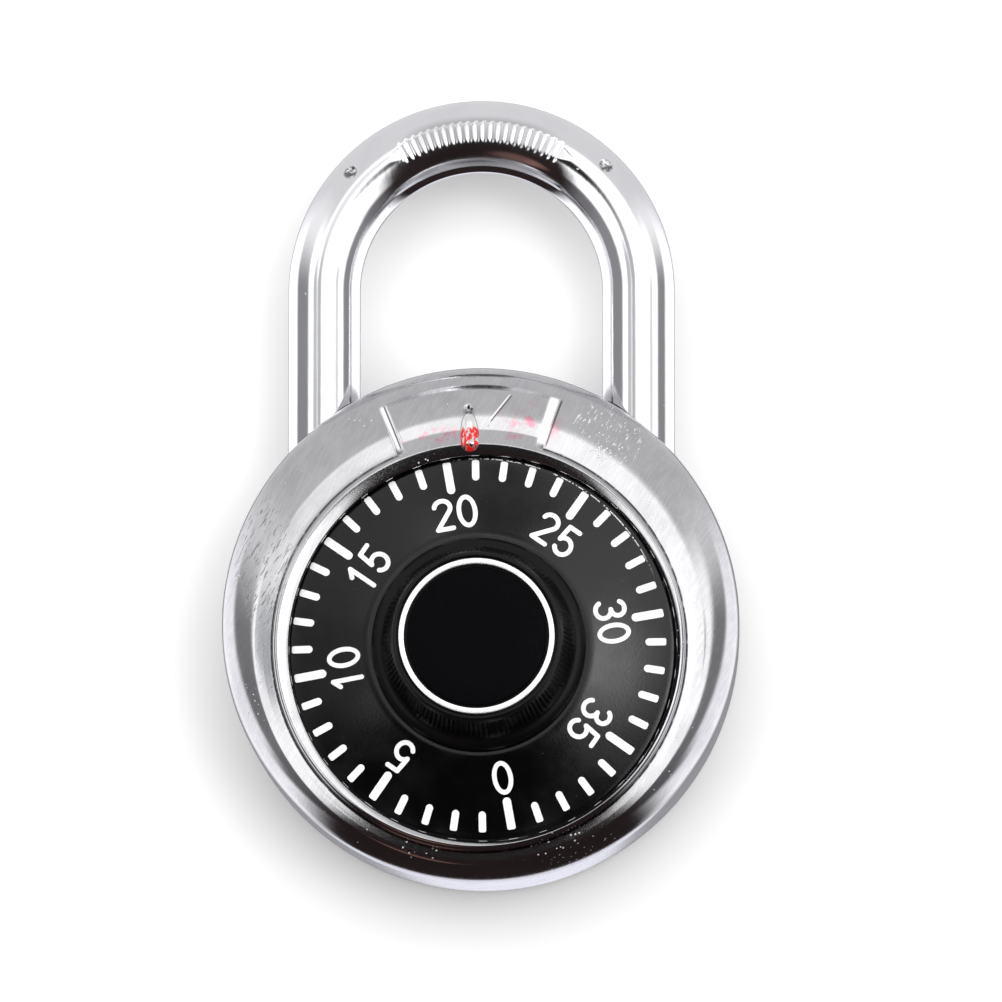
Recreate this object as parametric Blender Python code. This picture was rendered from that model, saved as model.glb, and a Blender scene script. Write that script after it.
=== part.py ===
"""Combination padlock: a round steel case, a numbered dial with a knob, and a round-bar shackle.

Frame: origin on the dial's axis, in the plane of the back cover's flat rear face. The dial faces -Y,
the shackle leaves the case along +Z, and +X is to the right of someone who reads the dial. Sizes below
are in millimetres, and every mesh is scaled to metres as it is made.
"""

import math

import bmesh
import bpy
from mathutils import Matrix, Vector

MM = 0.001
GAP = 0.3  # between neighbouring pieces
SMOOTH_ANGLE = math.radians(32)

# Case
CASE_RADIUS = 25.0
CASE_RISE = 2.6  # the case's centre lies this far above the dial's axis
SHEET = 0.8
LIP_Y = -18.9  # crest of the raised lip round the dial
RECESS_RADIUS = 19.45
RECESS_FLOOR_Y = -15.0
PLATEAU_Y = -18.75  # at its inner edge
PLATEAU_SLOPE = 0.22
PLATEAU_INNER = 20.4
PLATEAU_OUTER = 22.6  # about the case's centre
PLATEAU_HALF_ANGLE = 19.3  # degrees
INDEX_ANGLE = -2.5  # degrees clockwise from the top
RIB_RADIUS = 21.4  # middle of the index rib
BACK_FLANGE_Y = -1.95
INNER_CASE_RADIUS = 23.8
INNER_CASE_SHEET = 0.6
INNER_FLOOR_Y = -13.4  # rear face of the inner case's floor
PLATE_FRONT_Y = -4.4
PLATE_REAR_Y = -3.4
PLATE_RADIUS = 22.6

# Dial and knob
DIAL_RADIUS = 19.05
DIAL_RIM_Y = -17.4
DIAL_CENTRE_Y = -18.25
KNOB_BASE_RADIUS = 10.3
KNOB_TOP_RADIUS = 8.3
KNOB_BASE_Y = DIAL_CENTRE_Y - GAP
KNOB_TOP_Y = -26.2
KNOB_FLUTES = 36
FLUTE_DEPTH = 0.28
POCKET_RADIUS = 7.75
POCKET_Y = KNOB_TOP_Y + 0.9
RING_OUTER = POCKET_RADIUS - GAP
RING_WIDTH = 0.5
SPINDLE_RADIUS = 1.7
SPINDLE_REAR_Y = -1.7

# Disc pack, from the front to the rear
DISC_RADIUS = 10.4
DISC_THICKNESS = 1.4
CAM_FRONT_Y = -13.0
DISC_PITCH = 2.4
POST_RADIUS = 3.0
POST_BORE = SPINDLE_RADIUS + GAP
DISC_BORE = POST_RADIUS + GAP
GATE_WIDTH = 2.8
GATE_DEPTH = 2.4

# Shackle
WIRE_RADIUS = 3.5
LEG_X = 15.25
SHACKLE_Y = -9.0
ARCH_Z = 35.5
HEEL_END_Z = -9.2
TOE_END_Z = 10.5
CLIP_Z = -7.5  # middle of the retaining ring at rest
CLIP_THICKNESS = 0.6
LEG_BORE = WIRE_RADIUS + GAP
NOTCH_Z = 16.0
NOTCH_HEIGHT = 3.0
NOTCH_DEPTH = 1.2

# Guides and latch
GUIDE_BOTTOM_Z = 8.3
GUIDE_TOP_Z = 14.0
GUIDE_INNER_X = 9.9
GUIDE_OUTER_X = 19.6
GUIDE_FRONT_Y = -13.0
GUIDE_REAR_Y = PLATE_FRONT_Y - GAP
LATCH_HEIGHT = 2.2
LATCH_DEPTH = 2.8
LATCH_NOSE_X = 11.45
LATCH_TAIL_X = 3.4

# Fence lever
LEVER_PIVOT = (-6.6, 18.6)
LEVER_FRONT_Y = -6.5
LEVER_REAR_Y = -5.1
FENCE_HALF_WIDTH = 0.9
FENCE_BOTTOM_Z = DISC_RADIUS + GAP
LEVER_PIN_RADIUS = 1.0


def clear_scene():
    for item in list(bpy.data.objects):
        bpy.data.objects.remove(item, do_unlink=True)


def finish(name, bm, material):
    """Turns a bmesh drawn in millimetres into an object in metres, smooth but for its sharp edges."""
    bmesh.ops.recalc_face_normals(bm, faces=bm.faces)
    bmesh.ops.scale(bm, vec=(MM, MM, MM), verts=bm.verts)
    mesh = bpy.data.meshes.new(name)
    bm.to_mesh(mesh)
    bm.free()
    mesh.shade_smooth()
    mesh.set_sharp_from_angle(angle=SMOOTH_ANGLE)
    item = bpy.data.objects.new(name, mesh)
    bpy.context.scene.collection.objects.link(item)
    if material:
        mesh.materials.append(material)
    return item


def finish_hinged(name, bm, material, pivot):
    """As finish, with the object's origin on its joint's axis at pivot (x, y, z) in millimetres."""
    bmesh.ops.translate(bm, vec=-Vector(pivot), verts=bm.verts)
    item = finish(name, bm, material)
    item.location = Vector(pivot) * MM
    return item


def surface(name, colour, roughness, metallic):
    material = bpy.data.materials.new(name)
    material.use_nodes = True
    shader = material.node_tree.nodes["Principled BSDF"]
    shader.inputs["Base Color"].default_value = (*colour, 1.0)
    shader.inputs["Roughness"].default_value = roughness
    shader.inputs["Metallic"].default_value = metallic
    return material


def cut(item, cutter, operation="DIFFERENCE"):
    """Cuts with, or joins, a helper object that is itself left out of the model."""
    cutter.display_type = "WIRE"
    cutter.hide_render = True
    modifier = item.modifiers.new(cutter.name, "BOOLEAN")
    modifier.operation = operation
    modifier.solver = "EXACT"
    modifier.object = cutter


def ring_bmesh(stations, segments, closed, wobble=None):
    """Skins circles about Y axes. A station is (radius, centre z, y); closed joins the last to the first."""
    bm = bmesh.new()
    rings = []
    for index, (radius, centre_z, y) in enumerate(stations):
        ring = []
        for step in range(segments):
            angle = 2 * math.pi * step / segments
            shift = wobble(index, step, angle) if wobble else (0.0, 0.0)
            reach = radius + shift[0]
            place = (reach * math.sin(angle), y + shift[1], centre_z + reach * math.cos(angle))
            ring.append(bm.verts.new(place))
        rings.append(ring)
    pairs = list(zip(rings, rings[1:]))
    if closed:
        pairs.append((rings[-1], rings[0]))
    for one, two in pairs:
        for step in range(segments):
            after = (step + 1) % segments
            bm.faces.new((one[step], one[after], two[after], two[step]))
    if not closed:
        bm.faces.new(rings[0])
        bm.faces.new(rings[-1])
    return bm


def on_axis(profile, centre_z=0.0):
    """A profile of (radius, y) as stations that share one centre."""
    return [(radius, centre_z, y) for radius, y in profile]


def washer_profile(inner, outer, front_y, rear_y):
    return [(inner, rear_y), (inner, front_y), (outer, front_y), (outer, rear_y)]


def box_bmesh(low, high):
    bm = bmesh.new()
    centre = (Vector(low) + Vector(high)) / 2
    size = Vector(high) - Vector(low)
    bmesh.ops.create_cube(bm, size=1.0, matrix=Matrix.Translation(centre) @ Matrix.Diagonal((*size, 1.0)))
    return bm


def box_cutter(name, low, high):
    return finish(name, box_bmesh(low, high), None)


def cylinder_bmesh(radius, start, end, segments=32):
    """A cylinder from start to end, both (x, y, z)."""
    start = Vector(start)
    along = Vector(end) - start
    turn = along.to_track_quat("Z", "Y").to_matrix().to_4x4()
    bm = bmesh.new()
    bmesh.ops.create_cone(bm, cap_ends=True, segments=segments, radius1=radius, radius2=radius,
                          depth=along.length, matrix=Matrix.Translation(start + along / 2) @ turn)
    return bm


def cylinder_cutter(name, radius, start, end, segments=32):
    return finish(name, cylinder_bmesh(radius, start, end, segments), None)


def arc(centre, radius, start, end, steps):
    """Points (x, z) on an arc, angles in degrees anticlockwise from +X as seen from the dial's side."""
    points = []
    for step in range(steps + 1):
        angle = math.radians(start + (end - start) * step / steps)
        points.append((centre[0] + radius * math.cos(angle), centre[1] + radius * math.sin(angle)))
    return points


def plate_bmesh(outline, holes, front_y, rear_y):
    """A flat plate across Y with an outline and holes, all lists of (x, z)."""
    bm = bmesh.new()
    for loop in [outline, *holes]:
        corners = [bm.verts.new((x, front_y, z)) for x, z in loop]
        for one, two in zip(corners, corners[1:] + corners[:1]):
            bm.edges.new((one, two))
    bmesh.ops.triangle_fill(bm, use_beauty=True, use_dissolve=False, edges=bm.edges[:])
    grown = bmesh.ops.extrude_face_region(bm, geom=bm.faces[:])["geom"]
    moved = [part for part in grown if isinstance(part, bmesh.types.BMVert)]
    bmesh.ops.translate(bm, vec=(0, rear_y - front_y, 0), verts=moved)
    return bm


def tube_bmesh(stations, sides):
    """Skins circles along a path. A station is (centre, tangent, radius); both ends are capped."""
    bm = bmesh.new()
    rings = []
    across = None
    for centre, tangent, radius in stations:
        tangent = Vector(tangent).normalized()
        if across is None:
            across = tangent.orthogonal().normalized()
        across = (across - tangent * across.dot(tangent)).normalized()
        beside = tangent.cross(across)
        ring = []
        for step in range(sides):
            angle = 2 * math.pi * step / sides
            arm = across * math.cos(angle) + beside * math.sin(angle)
            ring.append(bm.verts.new(Vector(centre) + arm * radius))
        rings.append(ring)
    for one, two in zip(rings, rings[1:]):
        for step in range(sides):
            after = (step + 1) % sides
            bm.faces.new((one[step], one[after], two[after], two[step]))
    bm.faces.new(rings[0])
    bm.faces.new(rings[-1])
    return bm


def coil_stations(start, axis, radius, wire, turns, length, steps_per_turn=10):
    """Stations of a coil that winds from start along axis ("x" or "y")."""
    stations = []
    total = round(turns * steps_per_turn)
    pitch = length / turns
    for step in range(total + 1):
        angle = 2 * math.pi * step / steps_per_turn
        along = pitch * step / steps_per_turn
        side, rise = radius * math.cos(angle), radius * math.sin(angle)
        slope = pitch / (2 * math.pi)
        if axis == "x":
            offset, tangent = (along, side, rise), (slope, -rise, side)
        else:
            offset, tangent = (side, along, rise), (-rise, slope, side)
        stations.append((Vector(start) + Vector(offset), tangent, wire))
    return stations


# Case


def case_stations():
    """The front shell's section: from the curled rear edge over the face and back along the inside."""
    rise = CASE_RISE
    outside = [
        (23.3, rise, -0.9), (24.2, rise, -0.9), (24.75, rise, -1.4), (24.9, rise, -2.2),
        (CASE_RADIUS, rise, -12.4), (24.9, 2.56, -13.6), (24.55, 2.4, -14.85), (24.05, 2.1, -15.75),
        (23.4, 1.65, -16.45), (22.4, 0.95, -17.1), (21.0, 0, -17.6),
    ]
    lip = on_axis([
        (20.88, -17.8), (20.75, -18.25), (20.5, -18.68), (20.2, LIP_Y), (19.9, -18.85),
        (19.62, -18.5), (RECESS_RADIUS, -17.9), (RECESS_RADIUS, -15.2), (19.2, RECESS_FLOOR_Y),
        (3.3, RECESS_FLOOR_Y),
    ])
    inside = [
        (3.3, 0, RECESS_FLOOR_Y + SHEET), (19.9, 0, RECESS_FLOOR_Y + SHEET), (20.3, 0, -14.6),
        (20.35, 0, -16.5), (20.95, 0.05, -16.75), (22.0, 0.9, -16.35), (22.9, 1.6, -15.8),
        (23.5, 2.1, -15.15), (23.95, 2.45, -14.3), (24.15, rise, -13.3), (24.2, rise, -12.4),
        (24.1, rise, -1.75), (23.3, rise, -1.65),
    ]
    return outside + lip + inside


def shackle_hole(name, side, radius):
    return cylinder_cutter(name, radius, (side * LEG_X, SHACKLE_Y, 12.0), (side * LEG_X, SHACKLE_Y, 30.0))


def front_case():
    steel = surface("stainless_case", (0.62, 0.62, 0.62), 0.28, 1.0)
    case = finish("front_case", ring_bmesh(case_stations(), 56, closed=True), steel)
    cut(case, shackle_hole("case_heel_hole", -1, LEG_BORE + 0.05))
    cut(case, shackle_hole("case_toe_hole", 1, LEG_BORE + 0.05))
    cut(case, index_plateau(), "UNION")
    cut(case, index_rib(), "UNION")


def index_plateau():
    """The raised sector of the face that carries the index, flush with the lip and falling outwards."""
    steps = 8
    inner_edge, outer_edge = [], []
    for step in range(steps + 1):
        angle = math.radians(INDEX_ANGLE + PLATEAU_HALF_ANGLE * (2 * step / steps - 1))
        across, up = math.sin(angle), math.cos(angle)
        reach = CASE_RISE * up + math.sqrt(PLATEAU_OUTER ** 2 - (CASE_RISE * across) ** 2)
        inner_edge.append((PLATEAU_INNER * across, PLATEAU_INNER * up))
        outer_edge.append((reach * across, reach * up))
    pad = plate_bmesh(inner_edge + outer_edge[::-1], [], PLATEAU_Y, -16.2)
    for corner in pad.verts:
        if corner.co.y < PLATEAU_Y + SHEET:
            corner.co.y += PLATEAU_SLOPE * (math.hypot(corner.co.x, corner.co.z) - PLATEAU_INNER)
    return finish("index_plateau_shape", pad, None)


def index_rib():
    """The pressed rib on the plateau that the dial is read against."""
    angle = math.radians(INDEX_ANGLE)
    rib = bmesh.new()
    bmesh.ops.create_uvsphere(rib, u_segments=12, v_segments=8, radius=1.0)
    bmesh.ops.scale(rib, vec=(0.6, 0.45, 1.55), verts=rib.verts)
    level = PLATEAU_Y + PLATEAU_SLOPE * (RIB_RADIUS - PLATEAU_INNER)
    place = (RIB_RADIUS * math.sin(angle), level + 0.1, RIB_RADIUS * math.cos(angle))
    bmesh.ops.translate(rib, vec=place, verts=rib.verts)
    return finish("index_rib_shape", rib, None)


def inner_case():
    """A cup behind the dial recess, open to the rear, that lines the shell."""
    steel = surface("zinc_plated_steel", (0.5, 0.5, 0.48), 0.45, 1.0)
    wall = INNER_CASE_RADIUS - INNER_CASE_SHEET
    front_y = INNER_FLOOR_Y - 0.5
    stations = [
        (INNER_CASE_RADIUS, CASE_RISE, -2.95), (INNER_CASE_RADIUS, CASE_RISE, front_y + 0.3),
        (INNER_CASE_RADIUS - 0.3, CASE_RISE, front_y), (3.6, 0, front_y), (3.6, 0, INNER_FLOOR_Y),
        (wall, CASE_RISE, INNER_FLOOR_Y), (wall, CASE_RISE, -2.95),
    ]
    cup = finish("inner_case", ring_bmesh(stations, 40, closed=True), steel)
    cut(cup, shackle_hole("inner_heel_hole", -1, LEG_BORE + 0.1))
    cut(cup, shackle_hole("inner_toe_hole", 1, LEG_BORE + 0.1))


def back_cover():
    """A pressed cover: a flat plateau with a lower flange that the case's edge is curled over."""
    steel = surface("stainless_back", (0.6, 0.6, 0.6), 0.35, 1.0)
    profile = [
        (21.2, 0.0), (21.7, -0.12), (22.1, -0.5), (22.35, -1.6), (22.7, BACK_FLANGE_Y),
        (23.8, BACK_FLANGE_Y), (23.8, -2.6), (22.3, -2.6), (21.6, -2.1), (21.4, -0.9), (21.0, -0.8),
    ]
    finish("back_cover", ring_bmesh(on_axis(profile, CASE_RISE), 44, closed=False), steel)


def hole_ring(centre, radius, steps=16):
    return arc(centre, radius, 0, 360 - 360 / steps, steps - 1)


RIVETS = {
    "rivet_heel_upper": (-11.35, 12.5, 1.45),
    "rivet_heel_lower": (-11.35, 9.7, 1.2),
    "rivet_toe_upper": (11.35, 12.5, 1.45),
    "rivet_toe_lower": (11.35, 9.7, 1.2),
    "rivet_latch": (8.1, 16.0, 1.7),
}
RIVET_SHANK = 0.8
RIVET_HOLE = RIVET_SHANK + GAP
RIVET_END_Y = -5.6


def frame_plate():
    steel = surface("frame_steel", (0.45, 0.45, 0.44), 0.5, 1.0)
    outline = hole_ring((0, CASE_RISE), PLATE_RADIUS, 36)
    holes = [hole_ring((0, 0), POST_BORE + 0.2, 20)]
    holes += [hole_ring((x, z), RIVET_HOLE, 12) for x, z, _ in RIVETS.values()]
    finish("frame_plate", plate_bmesh(outline, holes, PLATE_FRONT_Y, PLATE_REAR_Y), steel)


def rivets():
    steel = surface("rivet_steel", (0.55, 0.55, 0.53), 0.4, 1.0)
    under_head = PLATE_REAR_Y + GAP
    for name, (x, z, head) in RIVETS.items():
        profile = [
            (RIVET_SHANK, RIVET_END_Y), (RIVET_SHANK, under_head), (head, under_head),
            (head * 0.92, under_head + 0.35), (head * 0.5, under_head + 0.65),
        ]
        bm = ring_bmesh(on_axis(profile), 12, closed=False)
        bmesh.ops.translate(bm, vec=(x, 0, z), verts=bm.verts)
        finish(name, bm, steel)


def wheel_post():
    brass = surface("post_brass", (0.72, 0.55, 0.27), 0.35, 1.0)
    flange = 4.6
    front_y = CAM_FRONT_Y + DISC_THICKNESS + GAP
    profile = [
        (POST_BORE, GUIDE_REAR_Y), (POST_BORE, front_y), (POST_RADIUS, front_y),
        (POST_RADIUS, -5.5), (flange, -5.5), (flange, GUIDE_REAR_Y),
    ]
    finish("wheel_post", ring_bmesh(on_axis(profile), 20, closed=True), brass)


def disc_front(index):
    """Front face of the drive cam (0) or of the disc behind it (1, 2)."""
    return CAM_FRONT_Y + DISC_PITCH * index


def spacers():
    brass = surface("spacer_brass", (0.75, 0.6, 0.32), 0.4, 1.0)
    for index in (1, 2):
        front_y = disc_front(index) - DISC_PITCH + DISC_THICKNESS + GAP
        profile = washer_profile(DISC_BORE, 5.4, front_y, front_y + 0.4)
        finish(f"spacer_{index}", ring_bmesh(on_axis(profile), 20, closed=True), brass)


def spring_washer():
    steel = surface("spring_steel", (0.42, 0.42, 0.44), 0.35, 1.0)
    waves, swing = 3, 0.14

    def wave(_, __, angle):
        return 0.0, swing * math.cos(waves * angle)

    profile = washer_profile(DISC_BORE, 5.2, -6.3, -6.0)
    finish("spring_washer", ring_bmesh(on_axis(profile), 36, closed=True, wobble=wave), steel)


def leg_guide(name, side):
    """A block that a shackle leg runs in, fixed to the frame plate by two rivets."""
    zinc = surface("guide_zinc", (0.52, 0.52, 0.53), 0.5, 1.0)
    reach = sorted((side * GUIDE_INNER_X, side * GUIDE_OUTER_X))
    low = (reach[0], GUIDE_FRONT_Y, GUIDE_BOTTOM_Z)
    high = (reach[1], GUIDE_REAR_Y, GUIDE_TOP_Z)
    block = finish(name, box_bmesh(low, high), zinc)
    leg_start, leg_end = (side * LEG_X, SHACKLE_Y, 0), (side * LEG_X, SHACKLE_Y, 30)
    cut(block, cylinder_cutter(name + "_bore", LEG_BORE, leg_start, leg_end, 24))
    for rivet, (x, z, _) in RIVETS.items():
        if rivet.startswith("rivet_" + name.split("_")[0]):
            hole = cylinder_cutter(rivet + "_hole", RIVET_HOLE, (x, RIVET_END_Y - GAP, z), (x, 0, z), 12)
            cut(block, hole)


def latch_guide():
    """A trough with a closed end, open to the front, that holds the latch and its spring."""
    zinc = surface("trough_zinc", (0.52, 0.52, 0.53), 0.5, 1.0)
    guide = finish("latch_guide", box_bmesh((-3.4, -11.6, 13.7), (9.4, -6.8, 18.3)), zinc)
    cut(guide, box_cutter("latch_guide_foot", (6.8, -9.0, 13.7), (9.4, GUIDE_REAR_Y, 18.3)), "UNION")
    half = LATCH_HEIGHT / 2 + GAP
    cut(guide, box_cutter("latch_channel", (-2.5, -12.6, NOTCH_Z - half), (10.4, -7.3, NOTCH_Z + half)))
    cut(guide, box_cutter("latch_peg_slot", (3.1, -7.8, 15.0), (6.5, -6.0, 17.0)))
    x, z, _ = RIVETS["rivet_latch"]
    cut(guide, cylinder_cutter("latch_rivet_hole", RIVET_HOLE, (x, RIVET_END_Y - GAP, z), (x, 0, z), 12))


def latch_spring():
    steel = surface("latch_spring_steel", (0.5, 0.5, 0.52), 0.3, 1.0)
    stations = coil_stations((-1.95, SHACKLE_Y, NOTCH_Z), "x", 0.95, 0.2, 4, 4.8)
    finish("latch_spring", tube_bmesh(stations, 5), steel)


def lever_pin():
    steel = surface("pin_steel", (0.55, 0.55, 0.55), 0.3, 1.0)
    x, z = LEVER_PIVOT
    finish("lever_pin", cylinder_bmesh(LEVER_PIN_RADIUS, (x, -13.1, z), (x, GUIDE_REAR_Y, z), 20), steel)


def lever_spring():
    """A torsion spring round the lever's pin that ends in a short straight leg."""
    steel = surface("lever_spring_steel", (0.5, 0.5, 0.52), 0.3, 1.0)
    x, z = LEVER_PIVOT
    wire, radius = 0.22, 1.7
    stations = coil_stations((x, -11.9, z), "y", radius, wire, 4.25, 4.6)
    last, tangent, _ = stations[-1]
    away = Vector((tangent[0], 0, tangent[2])).normalized()
    stations.append((last + away * 2.0, away, wire))
    finish("lever_spring", tube_bmesh(stations, 5), steel)


# Parts that turn with the dial


def dial():
    """The numbered plate: a shallow cone whose centre stands proud of its rim."""
    black = surface("dial_black", (0.012, 0.012, 0.013), 0.35, 0.0)
    rear_y = RECESS_FLOOR_Y - 0.4
    profile = [
        (SPINDLE_RADIUS + GAP, rear_y), (18.7, rear_y), (DIAL_RADIUS, rear_y - 0.35),
        (DIAL_RADIUS, DIAL_RIM_Y + 0.2), (DIAL_RADIUS - 0.2, DIAL_RIM_Y),
        (KNOB_BASE_RADIUS + 0.5, DIAL_CENTRE_Y), (SPINDLE_RADIUS + GAP, DIAL_CENTRE_Y),
    ]
    finish("dial", ring_bmesh(on_axis(profile), 56, closed=True), black)


def knob():
    """The turning knob: a round foot, a fluted taper, and a pocket in its top for the ring and the cap."""
    black = surface("knob_black", (0.015, 0.015, 0.016), 0.4, 0.0)
    bore = SPINDLE_RADIUS + GAP
    profile = [
        (bore, -22.3), (bore, KNOB_BASE_Y), (KNOB_BASE_RADIUS, KNOB_BASE_Y),
        (KNOB_BASE_RADIUS, KNOB_BASE_Y - 0.7), (9.75, KNOB_BASE_Y - 1.0),
        (KNOB_TOP_RADIUS + 0.15, KNOB_TOP_Y + 0.5), (KNOB_TOP_RADIUS, KNOB_TOP_Y + 0.25),
        (KNOB_TOP_RADIUS - 0.2, KNOB_TOP_Y), (POCKET_RADIUS, KNOB_TOP_Y), (POCKET_RADIUS, POCKET_Y),
    ]
    steps_per_flute = 3
    fluted = (4, 5)

    def flute(station, step, _):
        deep = station in fluted and step % steps_per_flute == 0
        return (-FLUTE_DEPTH if deep else 0.0), 0.0

    segments = KNOB_FLUTES * steps_per_flute
    finish("knob", ring_bmesh(on_axis(profile), segments, closed=False, wobble=flute), black)


def knob_ring():
    bright = surface("ring_bright", (0.85, 0.85, 0.86), 0.15, 1.0)
    inner = RING_OUTER - RING_WIDTH
    top = KNOB_TOP_Y - 0.25
    profile = [
        (inner, POCKET_Y - GAP), (inner, top + 0.08), (inner + 0.1, top),
        (RING_OUTER - 0.1, top), (RING_OUTER, top + 0.08), (RING_OUTER, POCKET_Y - GAP),
    ]
    finish("knob_ring", ring_bmesh(on_axis(profile), 36, closed=True), bright)


def knob_cap():
    black = surface("cap_black", (0.01, 0.01, 0.011), 0.45, 0.0)
    radius = RING_OUTER - RING_WIDTH - GAP
    profile = [
        (radius, POCKET_Y - GAP), (radius, KNOB_TOP_Y + 0.05), (radius - 0.15, KNOB_TOP_Y - 0.1),
    ]
    finish("knob_cap", ring_bmesh(on_axis(profile), 32, closed=False), black)


def spindle():
    """The shaft from the knob to the rear of the frame plate, with a groove for its clip."""
    steel = surface("spindle_steel", (0.6, 0.6, 0.6), 0.3, 1.0)
    groove = SPINDLE_RADIUS - 0.5
    profile = [
        (SPINDLE_RADIUS - 0.3, SPINDLE_REAR_Y), (SPINDLE_RADIUS, SPINDLE_REAR_Y - 0.2),
        (SPINDLE_RADIUS, -2.2), (groove, -2.2), (groove, -3.3), (SPINDLE_RADIUS, -3.3),
        (SPINDLE_RADIUS, -21.7), (SPINDLE_RADIUS - 0.3, -22.0),
    ]
    finish("spindle", ring_bmesh(on_axis(profile), 20, closed=False), steel)


def open_ring(inner, outer, opening, steps):
    """Outline of a C-shaped clip whose opening, in degrees, faces down."""
    start, end = -90 + opening / 2, 270 - opening / 2
    return arc((0, 0), outer, start, end, steps) + arc((0, 0), inner, end, start, steps)


def spindle_clip():
    steel = surface("clip_steel", (0.35, 0.35, 0.37), 0.4, 1.0)
    outline = open_ring(SPINDLE_RADIUS - 0.2, 3.2, 80, 18)
    finish("spindle_clip", plate_bmesh(outline, [], -3.0, -2.5), steel)


def gated_outline():
    """A disc's rim with one gate at the top."""
    half_width = GATE_WIDTH / 2
    edge = math.degrees(math.asin(half_width / DISC_RADIUS))
    floor_z = DISC_RADIUS - GATE_DEPTH
    rim = arc((0, 0), DISC_RADIUS, 90 + edge, 450 - edge, 44)
    return rim + [(half_width, floor_z), (-half_width, floor_z)]


def disc_tab(name, angle, front_y, rear_y):
    """The raised tab by which one disc picks up the next."""
    outline = arc((0, 0), 8.6, angle - 8, angle + 8, 3) + arc((0, 0), 6.8, angle + 8, angle - 8, 3)
    return finish(name, plate_bmesh(outline, [], front_y, rear_y), None)


def gated_disc(name, index, bore, material, front_tab, rear_tab):
    front_y = disc_front(index)
    rear_y = front_y + DISC_THICKNESS
    holes = [hole_ring((0, 0), bore, 24)]
    disc = finish(name, plate_bmesh(gated_outline(), holes, front_y, rear_y), material)
    tab_height = 0.65
    sunk = 0.5
    if front_tab:
        cut(disc, disc_tab(name + "_front_tab", 235, front_y - tab_height, front_y + sunk), "UNION")
    if rear_tab:
        cut(disc, disc_tab(name + "_rear_tab", 205, rear_y - sunk, rear_y + tab_height), "UNION")


def drive_cam():
    steel = surface("cam_zinc", (0.5, 0.5, 0.5), 0.45, 1.0)
    gated_disc("drive_cam", 0, SPINDLE_RADIUS + GAP, steel, False, True)


def discs():
    brass = surface("disc_brass", (0.74, 0.58, 0.3), 0.35, 1.0)
    gated_disc("disc_1", 1, DISC_BORE, brass, True, True)
    gated_disc("disc_2", 2, DISC_BORE, brass, True, False)


# Shackle, latch and lever


def shackle_stations():
    """From the heel's end up, over the arch, and down to the toe, with the groove of the retaining ring."""
    heel, toe, up, down = -LEG_X, LEG_X, (0, 0, 1), (0, 0, -1)
    chamfer = 0.6
    groove = WIRE_RADIUS - 0.65
    groove_half = CLIP_THICKNESS / 2 + GAP

    def on_leg(x, z, tangent, radius=WIRE_RADIUS):
        return ((x, SHACKLE_Y, z), tangent, radius)

    stations = [
        on_leg(heel, HEEL_END_Z, up, WIRE_RADIUS - chamfer), on_leg(heel, HEEL_END_Z + chamfer, up),
        on_leg(heel, CLIP_Z - groove_half, up), on_leg(heel, CLIP_Z - groove_half, up, groove),
        on_leg(heel, CLIP_Z + groove_half, up, groove), on_leg(heel, CLIP_Z + groove_half, up),
        on_leg(heel, 6.0, up), on_leg(heel, 20.0, up),
    ]
    steps = 20
    for step in range(steps + 1):
        angle = math.pi - math.pi * step / steps
        centre = (LEG_X * math.cos(angle), SHACKLE_Y, ARCH_Z + LEG_X * math.sin(angle))
        stations.append((centre, (math.sin(angle), 0, -math.cos(angle)), WIRE_RADIUS))
    tip = 1.0
    stations += [
        on_leg(toe, 20.0, down), on_leg(toe, TOE_END_Z + 2 * tip, down),
        on_leg(toe, TOE_END_Z + 0.8 * tip, down, WIRE_RADIUS - 0.35),
        on_leg(toe, TOE_END_Z, down, WIRE_RADIUS - 1.2 * tip),
    ]
    return stations


def shackle():
    """Bent round bar with a flat on the front of its crown and the latch's notch in its toe."""
    chrome = surface("shackle_chrome", (0.78, 0.78, 0.8), 0.12, 1.0)
    bm = tube_bmesh(shackle_stations(), 20)
    bar = finish_hinged("shackle", bm, chrome, (-LEG_X, SHACKLE_Y, 0))
    inner_x = LEG_X - WIRE_RADIUS
    half = NOTCH_HEIGHT / 2
    notch = box_cutter("toe_notch", (inner_x - 2, SHACKLE_Y - 5, NOTCH_Z - half),
                       (inner_x + NOTCH_DEPTH, SHACKLE_Y + 5, NOTCH_Z + half))
    cut(bar, notch)
    cut(bar, crown_flat())


def crown_flat():
    """A shallow cut across the front of the crown, between two radial ends."""
    depth, half_angle, reach = 0.35, 36, 3.2
    flat_y = SHACKLE_Y - WIRE_RADIUS + depth
    outline = arc((0, ARCH_Z), LEG_X + reach, 90 - half_angle, 90 + half_angle, 12)
    outline += arc((0, ARCH_Z), LEG_X - reach, 90 + half_angle, 90 - half_angle, 12)
    return finish("crown_flat", plate_bmesh(outline, [], flat_y - 3, flat_y), None)


def heel_clip():
    """The ring in the heel's groove that meets the heel guide when the shackle is fully lifted."""
    steel = surface("heel_clip_steel", (0.35, 0.35, 0.37), 0.4, 1.0)
    outline = open_ring(WIRE_RADIUS - 0.35, WIRE_RADIUS + 0.6, 70, 20)
    bm = plate_bmesh(outline, [], -CLIP_THICKNESS / 2, CLIP_THICKNESS / 2)
    bmesh.ops.rotate(bm, matrix=Matrix.Rotation(math.radians(90), 3, "X"), verts=bm.verts)
    bmesh.ops.translate(bm, vec=(-LEG_X, SHACKLE_Y, CLIP_Z), verts=bm.verts)
    finish_hinged("heel_clip", bm, steel, (-LEG_X, SHACKLE_Y, 0))


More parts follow.
